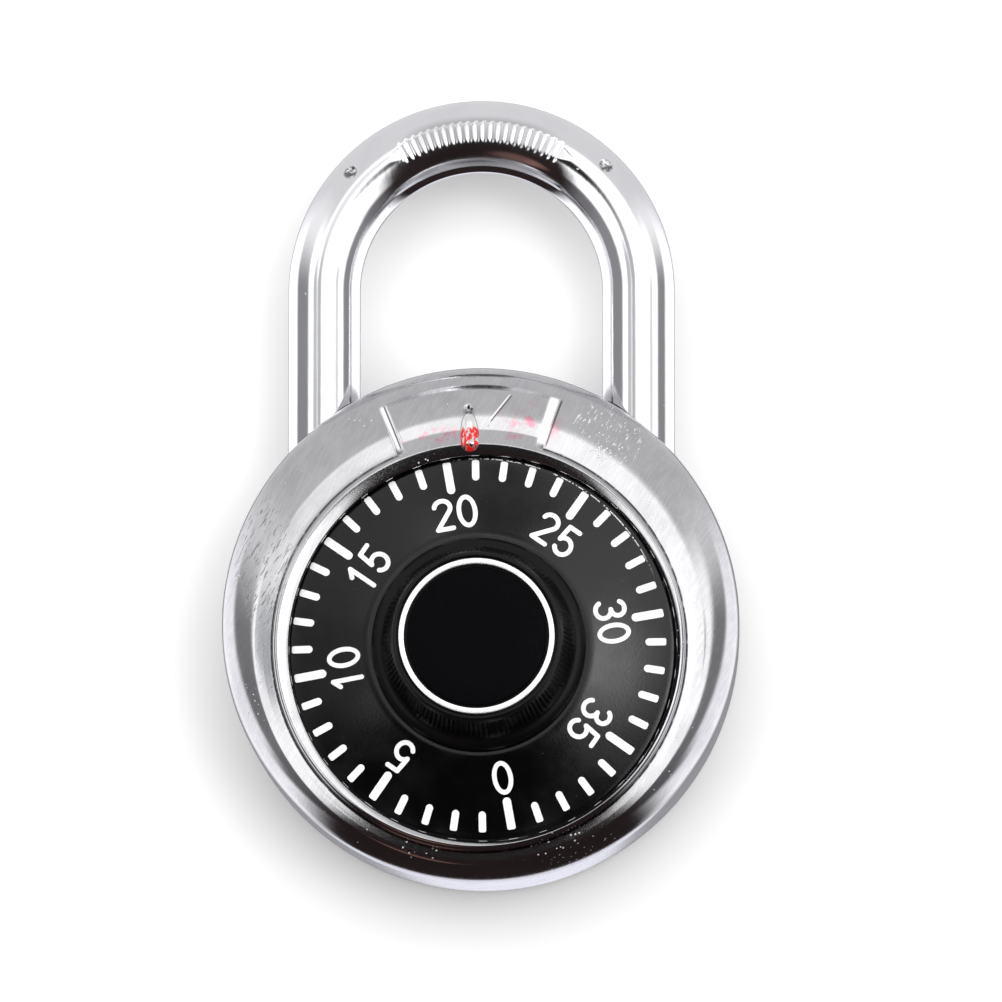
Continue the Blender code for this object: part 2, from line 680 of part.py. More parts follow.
def latch():
    """The sliding bar, drawn held back from the toe, with a bevelled nose and a peg for the lever."""
    steel = surface("latch_steel", (0.5, 0.5, 0.5), 0.35, 1.0)
    low_z, high_z = NOTCH_Z - LATCH_HEIGHT / 2, NOTCH_Z + LATCH_HEIGHT / 2
    front_y, rear_y = SHACKLE_Y - LATCH_DEPTH / 2, SHACKLE_Y + LATCH_DEPTH / 2
    outline = [
        (LATCH_TAIL_X, low_z), (LATCH_NOSE_X, low_z), (LATCH_NOSE_X, low_z + 0.9),
        (LATCH_NOSE_X - 1.2, high_z), (LATCH_TAIL_X, high_z),
    ]
    bm = plate_bmesh(outline, [], front_y, rear_y)
    bar = finish_hinged("latch", bm, steel, (LATCH_TAIL_X, SHACKLE_Y, NOTCH_Z))
    cut(bar, box_cutter("latch_peg", (3.5, rear_y - 1, 15.3), (4.9, -5.3, 16.7)), "UNION")


def fence_lever():
    """A plate on the pin with an arm to the latch's peg and a fence finger over the gates of the discs."""
    steel = surface("lever_steel", (0.48, 0.48, 0.48), 0.4, 1.0)
    hub_radius = 2.3
    finger_top = FENCE_BOTTOM_Z + 2.1
    hub = arc(LEVER_PIVOT, hub_radius, 80, 225, 10)
    outline = hub + [
        (-FENCE_HALF_WIDTH, FENCE_BOTTOM_Z), (FENCE_HALF_WIDTH, FENCE_BOTTOM_Z),
        (FENCE_HALF_WIDTH, finger_top), (3.2, 15.2), (3.2, 16.8),
    ]
    hole = hole_ring(LEVER_PIVOT, LEVER_PIN_RADIUS + GAP, 18)
    bm = plate_bmesh(outline, [hole], LEVER_FRONT_Y, LEVER_REAR_Y)
    lever = finish_hinged("fence_lever", bm, steel, (LEVER_PIVOT[0], 0, LEVER_PIVOT[1]))
    finger = box_cutter("fence_finger", (-FENCE_HALF_WIDTH, CAM_FRONT_Y, FENCE_BOTTOM_Z),
                        (FENCE_HALF_WIDTH, LEVER_FRONT_Y + 0.7, finger_top))
    cut(lever, finger, "UNION")


def build():
    clear_scene()
    front_case()
    inner_case()
    back_cover()
    frame_plate()
    rivets()
    wheel_post()
    spacers()
    spring_washer()
    leg_guide("heel_guide", -1)
    leg_guide("toe_guide", 1)
    latch_guide()
    latch_spring()
    lever_pin()
    lever_spring()
    dial()
    knob()
    knob_ring()
    knob_cap()
    spindle()
    spindle_clip()
    drive_cam()
    discs()
    shackle()
    heel_clip()
    latch()
    fence_lever()


build()
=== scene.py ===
"""Looks of the combination padlock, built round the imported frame.

Lengths below are in millimetres in the frame's own axes: the dial faces -Y and turns about the Y axis
through the origin, +Z runs along the shackle. Meshes are scaled to metres as they are made.
"""

import math

import bmesh
import bpy
from mathutils import Matrix, Vector


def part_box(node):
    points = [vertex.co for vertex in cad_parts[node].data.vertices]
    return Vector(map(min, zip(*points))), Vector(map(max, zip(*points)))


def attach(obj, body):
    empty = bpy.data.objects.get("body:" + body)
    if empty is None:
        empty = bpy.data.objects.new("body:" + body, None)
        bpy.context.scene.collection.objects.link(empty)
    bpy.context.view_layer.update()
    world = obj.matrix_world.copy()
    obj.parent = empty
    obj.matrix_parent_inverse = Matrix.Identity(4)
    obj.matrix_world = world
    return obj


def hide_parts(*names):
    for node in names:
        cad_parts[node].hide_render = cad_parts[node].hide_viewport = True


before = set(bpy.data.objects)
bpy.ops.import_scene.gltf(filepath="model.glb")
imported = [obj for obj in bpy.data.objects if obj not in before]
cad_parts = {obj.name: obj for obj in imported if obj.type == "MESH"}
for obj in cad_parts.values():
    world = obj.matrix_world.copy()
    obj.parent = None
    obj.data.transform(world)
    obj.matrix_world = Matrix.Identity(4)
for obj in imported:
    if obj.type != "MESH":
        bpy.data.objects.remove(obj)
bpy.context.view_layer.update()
MM = 0.001


def node_box(name):
    """Lowest and highest corner of a CAD node, in millimetres."""
    low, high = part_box(name)
    return low / MM, high / MM


# Case, from the frame
CASE_LOW, CASE_HIGH = node_box("front_case")
CASE_RADIUS = (CASE_HIGH.x - CASE_LOW.x) / 2
CASE_RISE = (CASE_HIGH.z + CASE_LOW.z) / 2
CASE_REAR_Y = CASE_HIGH.y
LIP_Y = -18.9
PLATEAU_Y = -18.88  # at its inner edge
PLATEAU_INNER = 19.5
PLATEAU_SLOPE = 0.62  # how fast its inner part falls from the lip
PLATEAU_STEP = 0.42  # how far its outer part stands above the dome
RECESS_RADIUS = 19.45
RECESS_FLOOR_Y = -15.0
SHEET = 0.8

# Index plateau and rib, angles in degrees clockwise from the top
INDEX_ANGLE = -2.5
PLATEAU_HALF_ANGLE = 19.3
PLATEAU_OUTER = 22.6  # about the case's centre
RIB_INNER = 18.55
RIB_OUTER = 22.6

# Dial and knob, from the frame
DIAL_LOW, DIAL_HIGH = node_box("dial")
DIAL_RADIUS = DIAL_HIGH.x
DIAL_CENTRE_Y = DIAL_LOW.y
DIAL_RIM_Y = DIAL_CENTRE_Y + 0.85
DIAL_REAR_Y = DIAL_HIGH.y
DISH_OUTER = DIAL_RADIUS - 0.25  # the dished part of its front
KNOB_LOW, KNOB_HIGH = node_box("knob")
KNOB_BASE_RADIUS = KNOB_HIGH.x
DISH_INNER = KNOB_BASE_RADIUS + 0.5
KNOB_TOP_Y = KNOB_LOW.y
KNOB_BASE_Y = KNOB_HIGH.y
RING_LOW, RING_HIGH = node_box("knob_ring")
CAP_LOW, CAP_HIGH = node_box("knob_cap")
SPINDLE_HOLE = 2.0

# Dial marks
DIVISIONS = 40
NUMBERED = 5  # every fifth division has a number
POINTED_NUMBER = 21
DIAL_OFFSET = -1.1  # degrees, how far the pointed division stands off the top
TICK_OUTER = 18.0
MINOR_TICK, MAJOR_TICK = 2.0, 3.1
MINOR_WIDTH, MAJOR_WIDTH = 0.7, 0.8
NUMBER_RADIUS = 13.0
DIGIT_HEIGHT = 3.25
DIGIT_WIDTH = 2.0
STROKE = 0.45
DIGIT_GAP = 0.32
PAINT = 0.06  # how far the white paint stands proud
PAINT_ROOT = 0.03

# Shackle, from the frame
BAR_LOW, BAR_HIGH = node_box("shackle")
WIRE_RADIUS = (BAR_HIGH.y - BAR_LOW.y) / 2
SHACKLE_Y = (BAR_HIGH.y + BAR_LOW.y) / 2
LEG_X = BAR_HIGH.x - WIRE_RADIUS
ARCH_Z = BAR_HIGH.z - LEG_X - WIRE_RADIUS
HEEL_END_Z = BAR_LOW.z
CLIP_LOW, CLIP_HIGH = node_box("heel_clip")
TOE_END_Z = 10.5
NOTCH_Z = 16.0
LEG_BORE = WIRE_RADIUS + 0.35

# Picture
CAMERA_AZIMUTH, CAMERA_ELEVATION = 1.5, -7.0
CAMERA_DISTANCE = 1200.0
AIM_RIGHT, AIM_UP = 2.11, 13.93  # where the camera points, from the dial's centre
FRAME_WIDTH = 96.3
WHITE = 1.75  # brightness of the lit surroundings, a little past white


# Mesh helpers


def add_object(name, data):
    item = bpy.data.objects.new(name, data)
    bpy.context.scene.collection.objects.link(item)
    return item


def add_mesh(name, bm):
    mesh = bpy.data.meshes.new(name)
    bm.to_mesh(mesh)
    bm.free()
    return add_object(name, mesh)


def make_object(name, bm, material, sharp=40):
    """An object in metres from a bmesh in millimetres, smooth but for edges sharper than the angle."""
    bmesh.ops.recalc_face_normals(bm, faces=bm.faces)
    bmesh.ops.scale(bm, vec=(MM, MM, MM), verts=bm.verts)
    item = add_mesh(name, bm)
    item.data.shade_smooth()
    item.data.set_sharp_from_angle(angle=math.radians(sharp))
    if material:
        item.data.materials.append(material)
    return item


def fit(item, body, replaced=None):
    """Puts a visible piece on its body, in the place of a CAD node if one is named."""
    if replaced:
        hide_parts(replaced)
    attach(item, body)


def skin(rings, closed):
    """Joins rings of points with quads; closed joins the last to the first, else both ends are capped."""
    bm = bmesh.new()
    rows = [[bm.verts.new(point) for point in ring] for ring in rings]
    pairs = list(zip(rows, rows[1:]))
    if closed:
        pairs.append((rows[-1], rows[0]))
    for one, two in pairs:
        count = len(one)
        for step in range(count):
            after = (step + 1) % count
            bm.faces.new((one[step], one[after], two[after], two[step]))
    if not closed:
        bm.faces.new(rows[0])
        bm.faces.new(rows[-1])
    return bm


def even_angles(count):
    return [2 * math.pi * step / count for step in range(count)]


def turned_rings(stations, angles, shape=None):
    """Rings about Y axes; shape(station index, x, y, z) may move a point.

    A station is (radius, centre z, y) or (radius, centre z, y, centre x).
    """
    rings = []
    for index, (radius, centre_z, y, *more) in enumerate(stations):
        centre_x = more[0] if more else 0.0
        ring = []
        for angle in angles:
            x, z = centre_x + radius * math.sin(angle), centre_z + radius * math.cos(angle)
            ring.append(shape(index, x, y, z) if shape else (x, y, z))
        rings.append(ring)
    return rings


def turned(name, profile, count, closed, material, sharp, shape=None, rise=0):
    """A piece turned from (radius, y) pairs round an axis that lies rise above the dial's."""
    rings = turned_rings([(radius, rise, y) for radius, y in profile], even_angles(count), shape)
    return make_object(name, skin(rings, closed), material, sharp)


def round_path(keys, steps):
    """Catmull-Rom through key tuples, with steps points for each stretch."""
    points = []
    last = len(keys) - 1
    for index in range(last):
        before, start = keys[max(index - 1, 0)], keys[index]
        end, after = keys[index + 1], keys[min(index + 2, last)]
        for step in range(steps):
            t = step / steps
            point = []
            for a, b, c, d in zip(before, start, end, after):
                bend = 2 * b + (c - a) * t + (2 * a - 5 * b + 4 * c - d) * t * t
                point.append((bend + (3 * b - a - 3 * c + d) * t * t * t) / 2)
            points.append(tuple(point))
    points.append(tuple(keys[last]))
    return points


def direction(azimuth, elevation):
    """Unit vector from angles in degrees: azimuth 0 is straight out of the dial, 90 to its right."""
    a, e = math.radians(azimuth), math.radians(elevation)
    return Vector((math.sin(a) * math.cos(e), -math.cos(a) * math.cos(e), math.sin(e)))


def smoothstep(low, high, value):
    share = min(max((value - low) / (high - low), 0.0), 1.0)
    return share * share * (3 - 2 * share)


def soft_step(share):
    """0 below 0 and 1 above 1, straight between them but for short rounded ends."""
    share = min(max(share, 0.0), 1.0)
    bend = 0.18
    rate = 1 / (1 - bend)
    if share < bend:
        return rate * share * share / (2 * bend)
    if share > 1 - bend:
        return 1 - rate * (1 - share) ** 2 / (2 * bend)
    return rate * (share - bend / 2)


def carve(item, cutter, operation="DIFFERENCE"):
    """Applies a Boolean at once and removes the helper."""
    modifier = item.modifiers.new("carve", "BOOLEAN")
    modifier.operation = operation
    modifier.solver = "EXACT"
    modifier.object = cutter
    bpy.context.view_layer.update()
    depsgraph = bpy.context.evaluated_depsgraph_get()
    mesh = bpy.data.meshes.new_from_object(item.evaluated_get(depsgraph))
    item.modifiers.clear()
    old = item.data
    item.data = mesh
    bpy.data.meshes.remove(old)
    bpy.data.objects.remove(cutter, do_unlink=True)
    item.data.name = item.name


def cylinder(name, radius, start, end, segments):
    start = Vector(start)
    along = Vector(end) - start
    turn = along.to_track_quat("Z", "Y").to_matrix().to_4x4()
    bm = bmesh.new()
    bmesh.ops.create_cone(bm, cap_ends=True, segments=segments, radius1=radius, radius2=radius,
                          depth=along.length, matrix=Matrix.Translation(start + along / 2) @ turn)
    return make_object(name, bm, None)


# Materials


class Nodes:
    """Short calls for one node tree. A source is a number, a colour or another node's output."""

    def __init__(self, tree):
        self.nodes, self.links = tree.nodes, tree.links

    def feed(self, socket, source):
        if isinstance(source, bpy.types.NodeSocket):
            self.links.new(source, socket)
        else:
            socket.default_value = (*source, 1.0) if socket.type == "RGBA" else source

    def math(self, operation, first, second=0.0):
        node = self.nodes.new("ShaderNodeMath")
        node.operation = operation
        self.feed(node.inputs[0], first)
        self.feed(node.inputs[1], second)
        return node.outputs[0]

    def times(self, first, *others):
        for other in others:
            first = self.math("MULTIPLY", first, other)
        return first

    def plus(self, first, second):
        return self.math("ADD", first, second)

    def minus(self, first, second):
        return self.math("SUBTRACT", first, second)

    def apart(self, first, second):
        return self.math("ABSOLUTE", self.minus(first, second))

    def length(self, across, up):
        return self.math("SQRT", self.plus(self.times(across, across), self.times(up, up)))

    def ramp(self, source, low, high, start=0.0, end=1.0):
        """Maps source from low..high to start..end, smoothly, and holds it outside."""
        node = self.nodes.new("ShaderNodeMapRange")
        node.interpolation_type = "SMOOTHSTEP"
        self.feed(node.inputs["Value"], source)
        for name, value in (("From Min", low), ("From Max", high), ("To Min", start), ("To Max", end)):
            node.inputs[name].default_value = value
        return node.outputs["Result"]

    def mix(self, share, first, second):
        node = self.nodes.new("ShaderNodeMix")
        node.data_type = "RGBA"
        for index, source in ((0, share), (6, first), (7, second)):
            self.feed(node.inputs[index], source)
        return node.outputs[2]


class Surface(Nodes):
    """A Principled material with short calls for the textures laid over it."""

    def __init__(self, name, colour, roughness, metallic, shine=0.5):
        self.material = bpy.data.materials.new(name)
        self.material.use_nodes = True
        super().__init__(self.material.node_tree)
        self.shader = self.nodes["Principled BSDF"]
        self.feed(self.shader.inputs["Specular IOR Level"], shine)
        self.colour, self.rough, self.metal, self.height = colour, roughness, metallic, None
        self.place = self.nodes.new("ShaderNodeTexCoord").outputs["Object"]

    def scaled(self, scale, slant=0):
        """Coordinates in millimetres times scale, turned first by slant degrees about the dial's axis."""
        scale = scale if isinstance(scale, tuple) else (scale, scale, scale)
        node = self.nodes.new("ShaderNodeMapping")
        if slant:
            node.vector_type = "TEXTURE"
            node.inputs["Scale"].default_value = tuple(MM / part for part in scale)
            node.inputs["Rotation"].default_value = (0, math.radians(slant), 0)
        else:
            node.inputs["Scale"].default_value = tuple(part / MM for part in scale)
        self.feed(node.inputs["Vector"], self.place)
        return node.outputs[0]

    def noise(self, scale, detail=3.0, roughness=0.55, slant=0):
        """Noise whose grain is 1/scale millimetres along each axis."""
        node = self.nodes.new("ShaderNodeTexNoise")
        node.inputs["Scale"].default_value = 1.0
        node.inputs["Detail"].default_value = detail
        node.inputs["Roughness"].default_value = roughness
        self.feed(node.inputs["Vector"], self.scaled(scale, slant))
        return node.outputs["Fac"]

    def spots(self, scale):
        """Distance to scattered points, in cells."""
        node = self.nodes.new("ShaderNodeTexVoronoi")
        node.inputs["Scale"].default_value = 1.0
        self.feed(node.inputs["Vector"], self.scaled(scale))
        return node.outputs["Distance"]

    def tint(self, share, colour):
        self.colour = self.mix(share, self.colour, colour)

    def roughen(self, amount):
        self.rough = self.plus(self.rough, amount)

    def raise_by(self, amount):
        self.height = amount if self.height is None else self.plus(self.height, amount)

    def axis(self, letter):
        """A coordinate in millimetres."""
        node = self.nodes.new("ShaderNodeSeparateXYZ")
        self.feed(node.inputs[0], self.scaled(1))
        return node.outputs["XYZ".index(letter)]

    def near(self, centre, radius, stretch=(1, 1, 1)):
        """1 at a point in millimetres, falling to 0 at radius; stretch divides the distance by axis."""
        node = self.nodes.new("ShaderNodeVectorMath")
        node.operation = "DISTANCE"
        self.feed(node.inputs[0], self.scaled(tuple(1 / part for part in stretch)))
        node.inputs[1].default_value = tuple(part / wide for part, wide in zip(centre, stretch))
        return self.ramp(node.outputs["Value"], radius, 0.0)

    def scratch(self, middle, lean, half):
        """A scratch drawn as a thin painted highlight line with a painted shade edge, seen from the front:
        middle (x, z), lean from upright.
        """
        across = self.minus(self.axis("X"), middle[0])
        up = self.minus(self.axis("Z"), middle[1])
        c, s = math.cos(lean), math.sin(lean)
        off = self.minus(self.times(across, c), self.times(up, s))
        along = self.plus(self.times(across, s), self.times(up, c))
        ends = self.ramp(self.math("ABSOLUTE", along), half, half - 0.3)
        ends = self.times(ends, self.ramp(self.axis("Y"), -12.0, -15.0))
        # the dark colour is the groove's painted shade edge, the white its painted highlight line
        for shift, colour in ((0.13, (0.12, 0.12, 0.12)), (0.0, (0.98, 0.98, 0.98))):
            line = self.times(self.ramp(self.apart(off, shift), 0.11, 0.06), ends)
            self.tint(line, colour)
        self.roughen(self.times(line, 0.4))

    def done(self, bump_mm):
        bump = self.nodes.new("ShaderNodeBump")
        bump.inputs["Strength"].default_value = 1.0
        bump.inputs["Distance"].default_value = bump_mm * MM
        self.feed(bump.inputs["Height"], self.height)
        values = {"Base Color": self.colour, "Roughness": self.rough, "Metallic": self.metal,
                  "Normal": bump.outputs["Normal"]}
        for name, source in values.items():
            self.feed(self.shader.inputs[name], source)
        return self.material


def dress_edges(steel):
    """Painted highlights along the index plateau's side edges with painted shade lines beside them, a patchy
    painted dark reflection at the lip's outer foot and a painted dark reflection line on the dome's upper
    rim.
    """
    across, up = steel.axis("X"), steel.axis("Z")
    turn = steel.math("DEGREES", steel.math("ARCTAN2", across, up))
    from_dial = steel.length(across, up)
    from_case = steel.length(across, steel.minus(up, CASE_RISE))
    reach = steel.times(steel.ramp(from_dial, 20.1, 20.7), steel.ramp(from_case, 22.95, 22.55))
    # painted highlights along the plateau's two side edges, drawn as pale, less metallic steel
    bright = 0.0
    for side, half in ((1, 1.0), (-1, 0.75)):
        off = steel.apart(turn, INDEX_ANGLE + side * PLATEAU_HALF_ANGLE)
        bright = steel.plus(bright, steel.ramp(off, half + 0.4, half - 0.4))
    bright = steel.times(bright, reach)
    steel.tint(bright, (0.97, 0.97, 0.97))
    steel.metal = steel.minus(1.0, steel.times(bright, 0.75))
    steel.roughen(steel.times(bright, 0.2))
    # painted shade lines beside the plateau's side edges
    for side, outside in ((1, 1.6), (-1, -0.3)):
        off = steel.apart(turn, INDEX_ANGLE + side * (PLATEAU_HALF_ANGLE + outside))
        steel.tint(steel.times(steel.ramp(off, 0.3, 0.12), reach), (0.16, 0.16, 0.17))
    # patchy painted dark reflection along the lip's outer foot, kept off the plateau
    clear = steel.ramp(steel.apart(turn, INDEX_ANGLE), PLATEAU_HALF_ANGLE + 0.8, PLATEAU_HALF_ANGLE + 1.6)
    foot = steel.ramp(steel.apart(from_dial, 19.98), 0.14, 0.06)
    patchy = steel.ramp(steel.noise(0.9, 3.0, 0.7), 0.36, 0.5, 0.35, 0.9)
    steel.tint(steel.times(foot, clear, patchy), (0.05, 0.045, 0.045))
    # painted dark reflection line along the dome's upper rim, on the front only
    front = steel.ramp(steel.axis("Y"), -12.6, -12.9)
    rim = steel.times(steel.ramp(from_case, 24.72, 24.82), front, steel.ramp(up, -2.0, 8.0), 0.85)
    steel.tint(rim, (0.13, 0.13, 0.14))


def satin_case():
    """Stainless sheet with a fine grain, small nicks, slanted scuffs and smears of the index's red paint,
    with painted light and shade on a scratch, in the pit by the rib and along the plateau edges and rims.
    """
    steel = Surface("satin_stainless", (0.55, 0.55, 0.56), 0.10, 1.0)
    grain = steel.noise(9, 2.0)
    steel.roughen(steel.ramp(grain, 0.3, 0.7, -0.03, 0.06))
    cloud = steel.noise(0.2, 4.0, 0.65)
    steel.tint(steel.ramp(cloud, 0.35, 0.7, 0.0, 0.7), (0.44, 0.44, 0.46))
    brushed = steel.noise((5.0, 1.0, 0.5), 3.0, slant=28)
    steel.tint(steel.ramp(brushed, 0.45, 0.65, 0.0, 0.28), (0.66, 0.66, 0.67))
    strokes = steel.ramp(steel.noise((7.0, 1.0, 0.9), 1.0, slant=28), 0.60, 0.66)
    scuff_left = steel.near((-20.8, -16.5, 8.5), 9.5, (0.45, 1.0, 1.0))
    scuff_right = steel.near((12.5, -16.5, 21.0), 6.0)
    scuff_low = steel.near((9.0, -16.0, -19.5), 7.5, (1.3, 1.0, 0.5))
    elsewhere = steel.ramp(steel.noise(0.16, 1.0), 0.56, 0.68, 0.0, 0.17)
    scuffs = steel.times(strokes, steel.ramp(steel.math("MAXIMUM", scuff_left, elsewhere), 0.1, 0.45))
    steel.tint(steel.times(scuffs, 0.65), (0.12, 0.12, 0.13))
    nick_noise = steel.ramp(steel.noise(0.2, 2.0), 0.54, 0.66, 0.0, 0.6)
    nick_zone = steel.math("MAXIMUM", steel.math("MAXIMUM", scuff_right, scuff_low), nick_noise)
    nicks = steel.ramp(steel.spots(1.9), 0.19, 0.11)
    nicks = steel.times(nicks, steel.ramp(nick_zone, 0.25, 0.5))
    light_strokes = steel.ramp(steel.noise((6.0, 1.0, 1.3), 1.0, slant=32), 0.63, 0.68)
    light_strokes = steel.times(light_strokes, steel.ramp(scuff_right, 0.2, 0.5))
    marks = steel.math("MAXIMUM", nicks, light_strokes)
    pits = steel.ramp(steel.spots(0.42), 0.05, 0.025)
    steel.tint(marks, (0.95, 0.95, 0.95))
    steel.roughen(steel.times(marks, 0.45))
    steel.raise_by(steel.times(grain, 0.12))
    steel.raise_by(steel.times(scuffs, -0.5))
    steel.raise_by(steel.times(marks, -0.9))
    steel.raise_by(steel.times(pits, -1.6))
    # one scratch near the plateau, with a painted highlight and a painted shade edge
    steel.scratch((2.0, 23.1), math.radians(37), 1.8)
    # painted shade in the lanced pit just outside the index rib
    steel.tint(steel.near((-1.0, -17.6, 22.85), 0.75), (0.03, 0.03, 0.03))
    right_smear = steel.near((5.2, -18.5, 21.2), 4.6, (1.0, 1.0, 0.75))
    left_smear = steel.near((-4.5, -18.5, 20.3), 4.4, (1.3, 1.0, 0.3))
    patches = steel.ramp(steel.noise(0.8, 4.0, 0.7), 0.5, 0.64)
    smears = steel.times(steel.math("MAXIMUM", right_smear, left_smear), patches, 0.75)
    steel.tint(smears, (0.80, 0.20, 0.30))
    dress_edges(steel)
    return steel.done(0.02)


def chrome():
    """Bright plating with faint cloudy wear and a few pits."""
    plate = Surface("bright_chrome", (0.80, 0.80, 0.82), 0.055, 1.0)
    cloud = plate.noise((0.25, 0.25, 0.12), 3.0)
    plate.roughen(plate.ramp(cloud, 0.4, 0.7, 0.0, 0.07))
    plate.tint(plate.ramp(cloud, 0.45, 0.75, 0.0, 0.25), (0.68, 0.68, 0.72))
    stamped = plate.near((0, SHACKLE_Y - WIRE_RADIUS, BAR_HIGH.z - 4.6), 1.35, (8.6, 4.0, 3.0))
    stamped = plate.ramp(stamped, 0.2, 0.5)
    plate.tint(plate.times(stamped, 0.75), (0.42, 0.42, 0.43))
    plate.roughen(plate.times(stamped, 0.1))
    for angle in DENT_ANGLES:
        reach = LEG_X + DENT_OFF
        nick = (math.sin(angle) * reach, SHACKLE_Y - WIRE_RADIUS + 0.5, ARCH_Z + math.cos(angle) * reach)
        ragged = plate.ramp(plate.noise(1.9, 3.0, 0.7), 0.44, 0.54)
        dark = plate.times(plate.ramp(plate.near(nick, 1.15), 0.2, 0.55), ragged)
        plate.tint(plate.times(dark, 0.85), (0.06, 0.06, 0.06))
    pits = plate.ramp(plate.spots(0.5), 0.06, 0.03)
    ripple = plate.noise((1.2, 1.2, 0.35), 2.0)
    plate.raise_by(plate.times(pits, -0.7))
    plate.raise_by(plate.times(ripple, 0.25))
    return plate.done(0.02)


def black_finish(name, colour, roughness, shine, uneven, dust):
    """Black surface with soft unevenness, a fine grain and a little dust."""
    black = Surface(name, colour, roughness, 0.0, shine)
    black.roughen(black.ramp(black.noise(0.22, 4.0), 0.35, 0.7, *uneven))
    specks = black.ramp(black.spots(1.3), 0.055, 0.03)
    patchy = black.ramp(black.noise(0.3, 2.0), 0.5, 0.65)
    black.tint(black.times(specks, patchy, dust), (0.35, 0.35, 0.36))
    black.raise_by(black.noise(4, 3.0))
    return black


def dial_finish():
    """Black lacquer with, on one side, a fine dashed painted highlight line just outside the ticks' outer
    ends.
    """
    black = black_finish("dial_black", (0.001, 0.001, 0.0012), 0.13, 0.375, (-0.03, 0.06), 0.5)
    across, up = black.axis("X"), black.axis("Z")
    # a dashed painted highlight ring just outside the ticks, on the upper right only, in place of light
    # caught at the dial's edge
    line = black.ramp(black.apart(black.length(across, up), TICK_OUTER + 0.12), 0.07, 0.03)
    slant = black.plus(black.times(across, 0.5), black.times(up, 0.87))
    dashed_glint = black.ramp(black.noise(3.0, 2.0), 0.46, 0.5)
    black.tint(black.times(line, black.ramp(slant, 14.0, 17.0), dashed_glint), (0.8, 0.8, 0.8))
    return black.done(0.004)


def cap_black():
    """Matt black disc with a faint woven grain."""
    black = Surface("cap_black", (0.0015, 0.0015, 0.002), 0.45, 0.0, 0.03)
    weave = black.plus(black.noise((5.0, 1.0, 0.5), 2.0), black.noise((0.5, 1.0, 5.0), 2.0))
    black.roughen(black.ramp(weave, 0.8, 1.2, -0.05, 0.1))
    black.raise_by(weave)
    return black.done(0.006)


def white_paint():
    paint = Surface("white_paint", (0.86, 0.87, 0.86), 0.45, 0.0)
    cloud = paint.noise(2.2, 3.0)
    paint.tint(paint.ramp(cloud, 0.4, 0.72, 0.0, 0.6), (0.74, 0.76, 0.75))
    paint.roughen(paint.ramp(cloud, 0.3, 0.7, -0.05, 0.15))
    paint.raise_by(cloud)
    return paint.done(0.01)


def bright_ring():
    """Turned aluminium: fine concentric lines."""
    ring = Surface("turned_aluminium", (0.93, 0.93, 0.94), 0.3, 0.4)
    fine = ring.noise(7, 2.0)
    ring.roughen(ring.ramp(fine, 0.3, 0.7, -0.08, 0.1))
    ring.tint(ring.ramp(fine, 0.5, 0.75, 0.0, 0.3), (0.8, 0.8, 0.8))
    ring.raise_by(fine)
    return ring.done(0.008)


def rib_finish():
    """Bare metal at the rib's top end, red paint worn through in streaks below it."""
    rib = Surface("index_rib_paint", (0.85, 0.85, 0.85), 0.2, 1.0)
    streaks = rib.noise((3.2, 1.0, 0.7), 2.0)
    height = rib.plus(rib.axis("Z"), rib.times(streaks, 1.6))
    low_part = rib.ramp(height, 21.9, 21.6)
    worn = rib.ramp(rib.noise((3.0, 2.6, 0.7), 3.0), 0.58, 0.51)
    red = rib.times(low_part, worn)
    rib.tint(red, (0.62, 0.012, 0.012))
    rib.metal = rib.minus(1.0, red)
    rib.raise_by(streaks)
    return rib.done(0.05)


def plain_metal(name, colour, roughness, grain=(5, 5, 5), dark=None, bump=0.01):
    """Worked metal with grain, cloudy colour and uneven roughness."""
    metal = Surface(name, colour, roughness, 1.0)
    fine = metal.noise(grain, 3.0)
    cloud = metal.noise(0.35, 3.0)
    shade = dark or tuple(part * 0.72 for part in colour)
    metal.tint(metal.ramp(cloud, 0.4, 0.7, 0.0, 0.6), shade)
    metal.roughen(metal.ramp(fine, 0.3, 0.7, -0.08, 0.12))
    metal.raise_by(fine)
    return metal.done(bump)


# Case


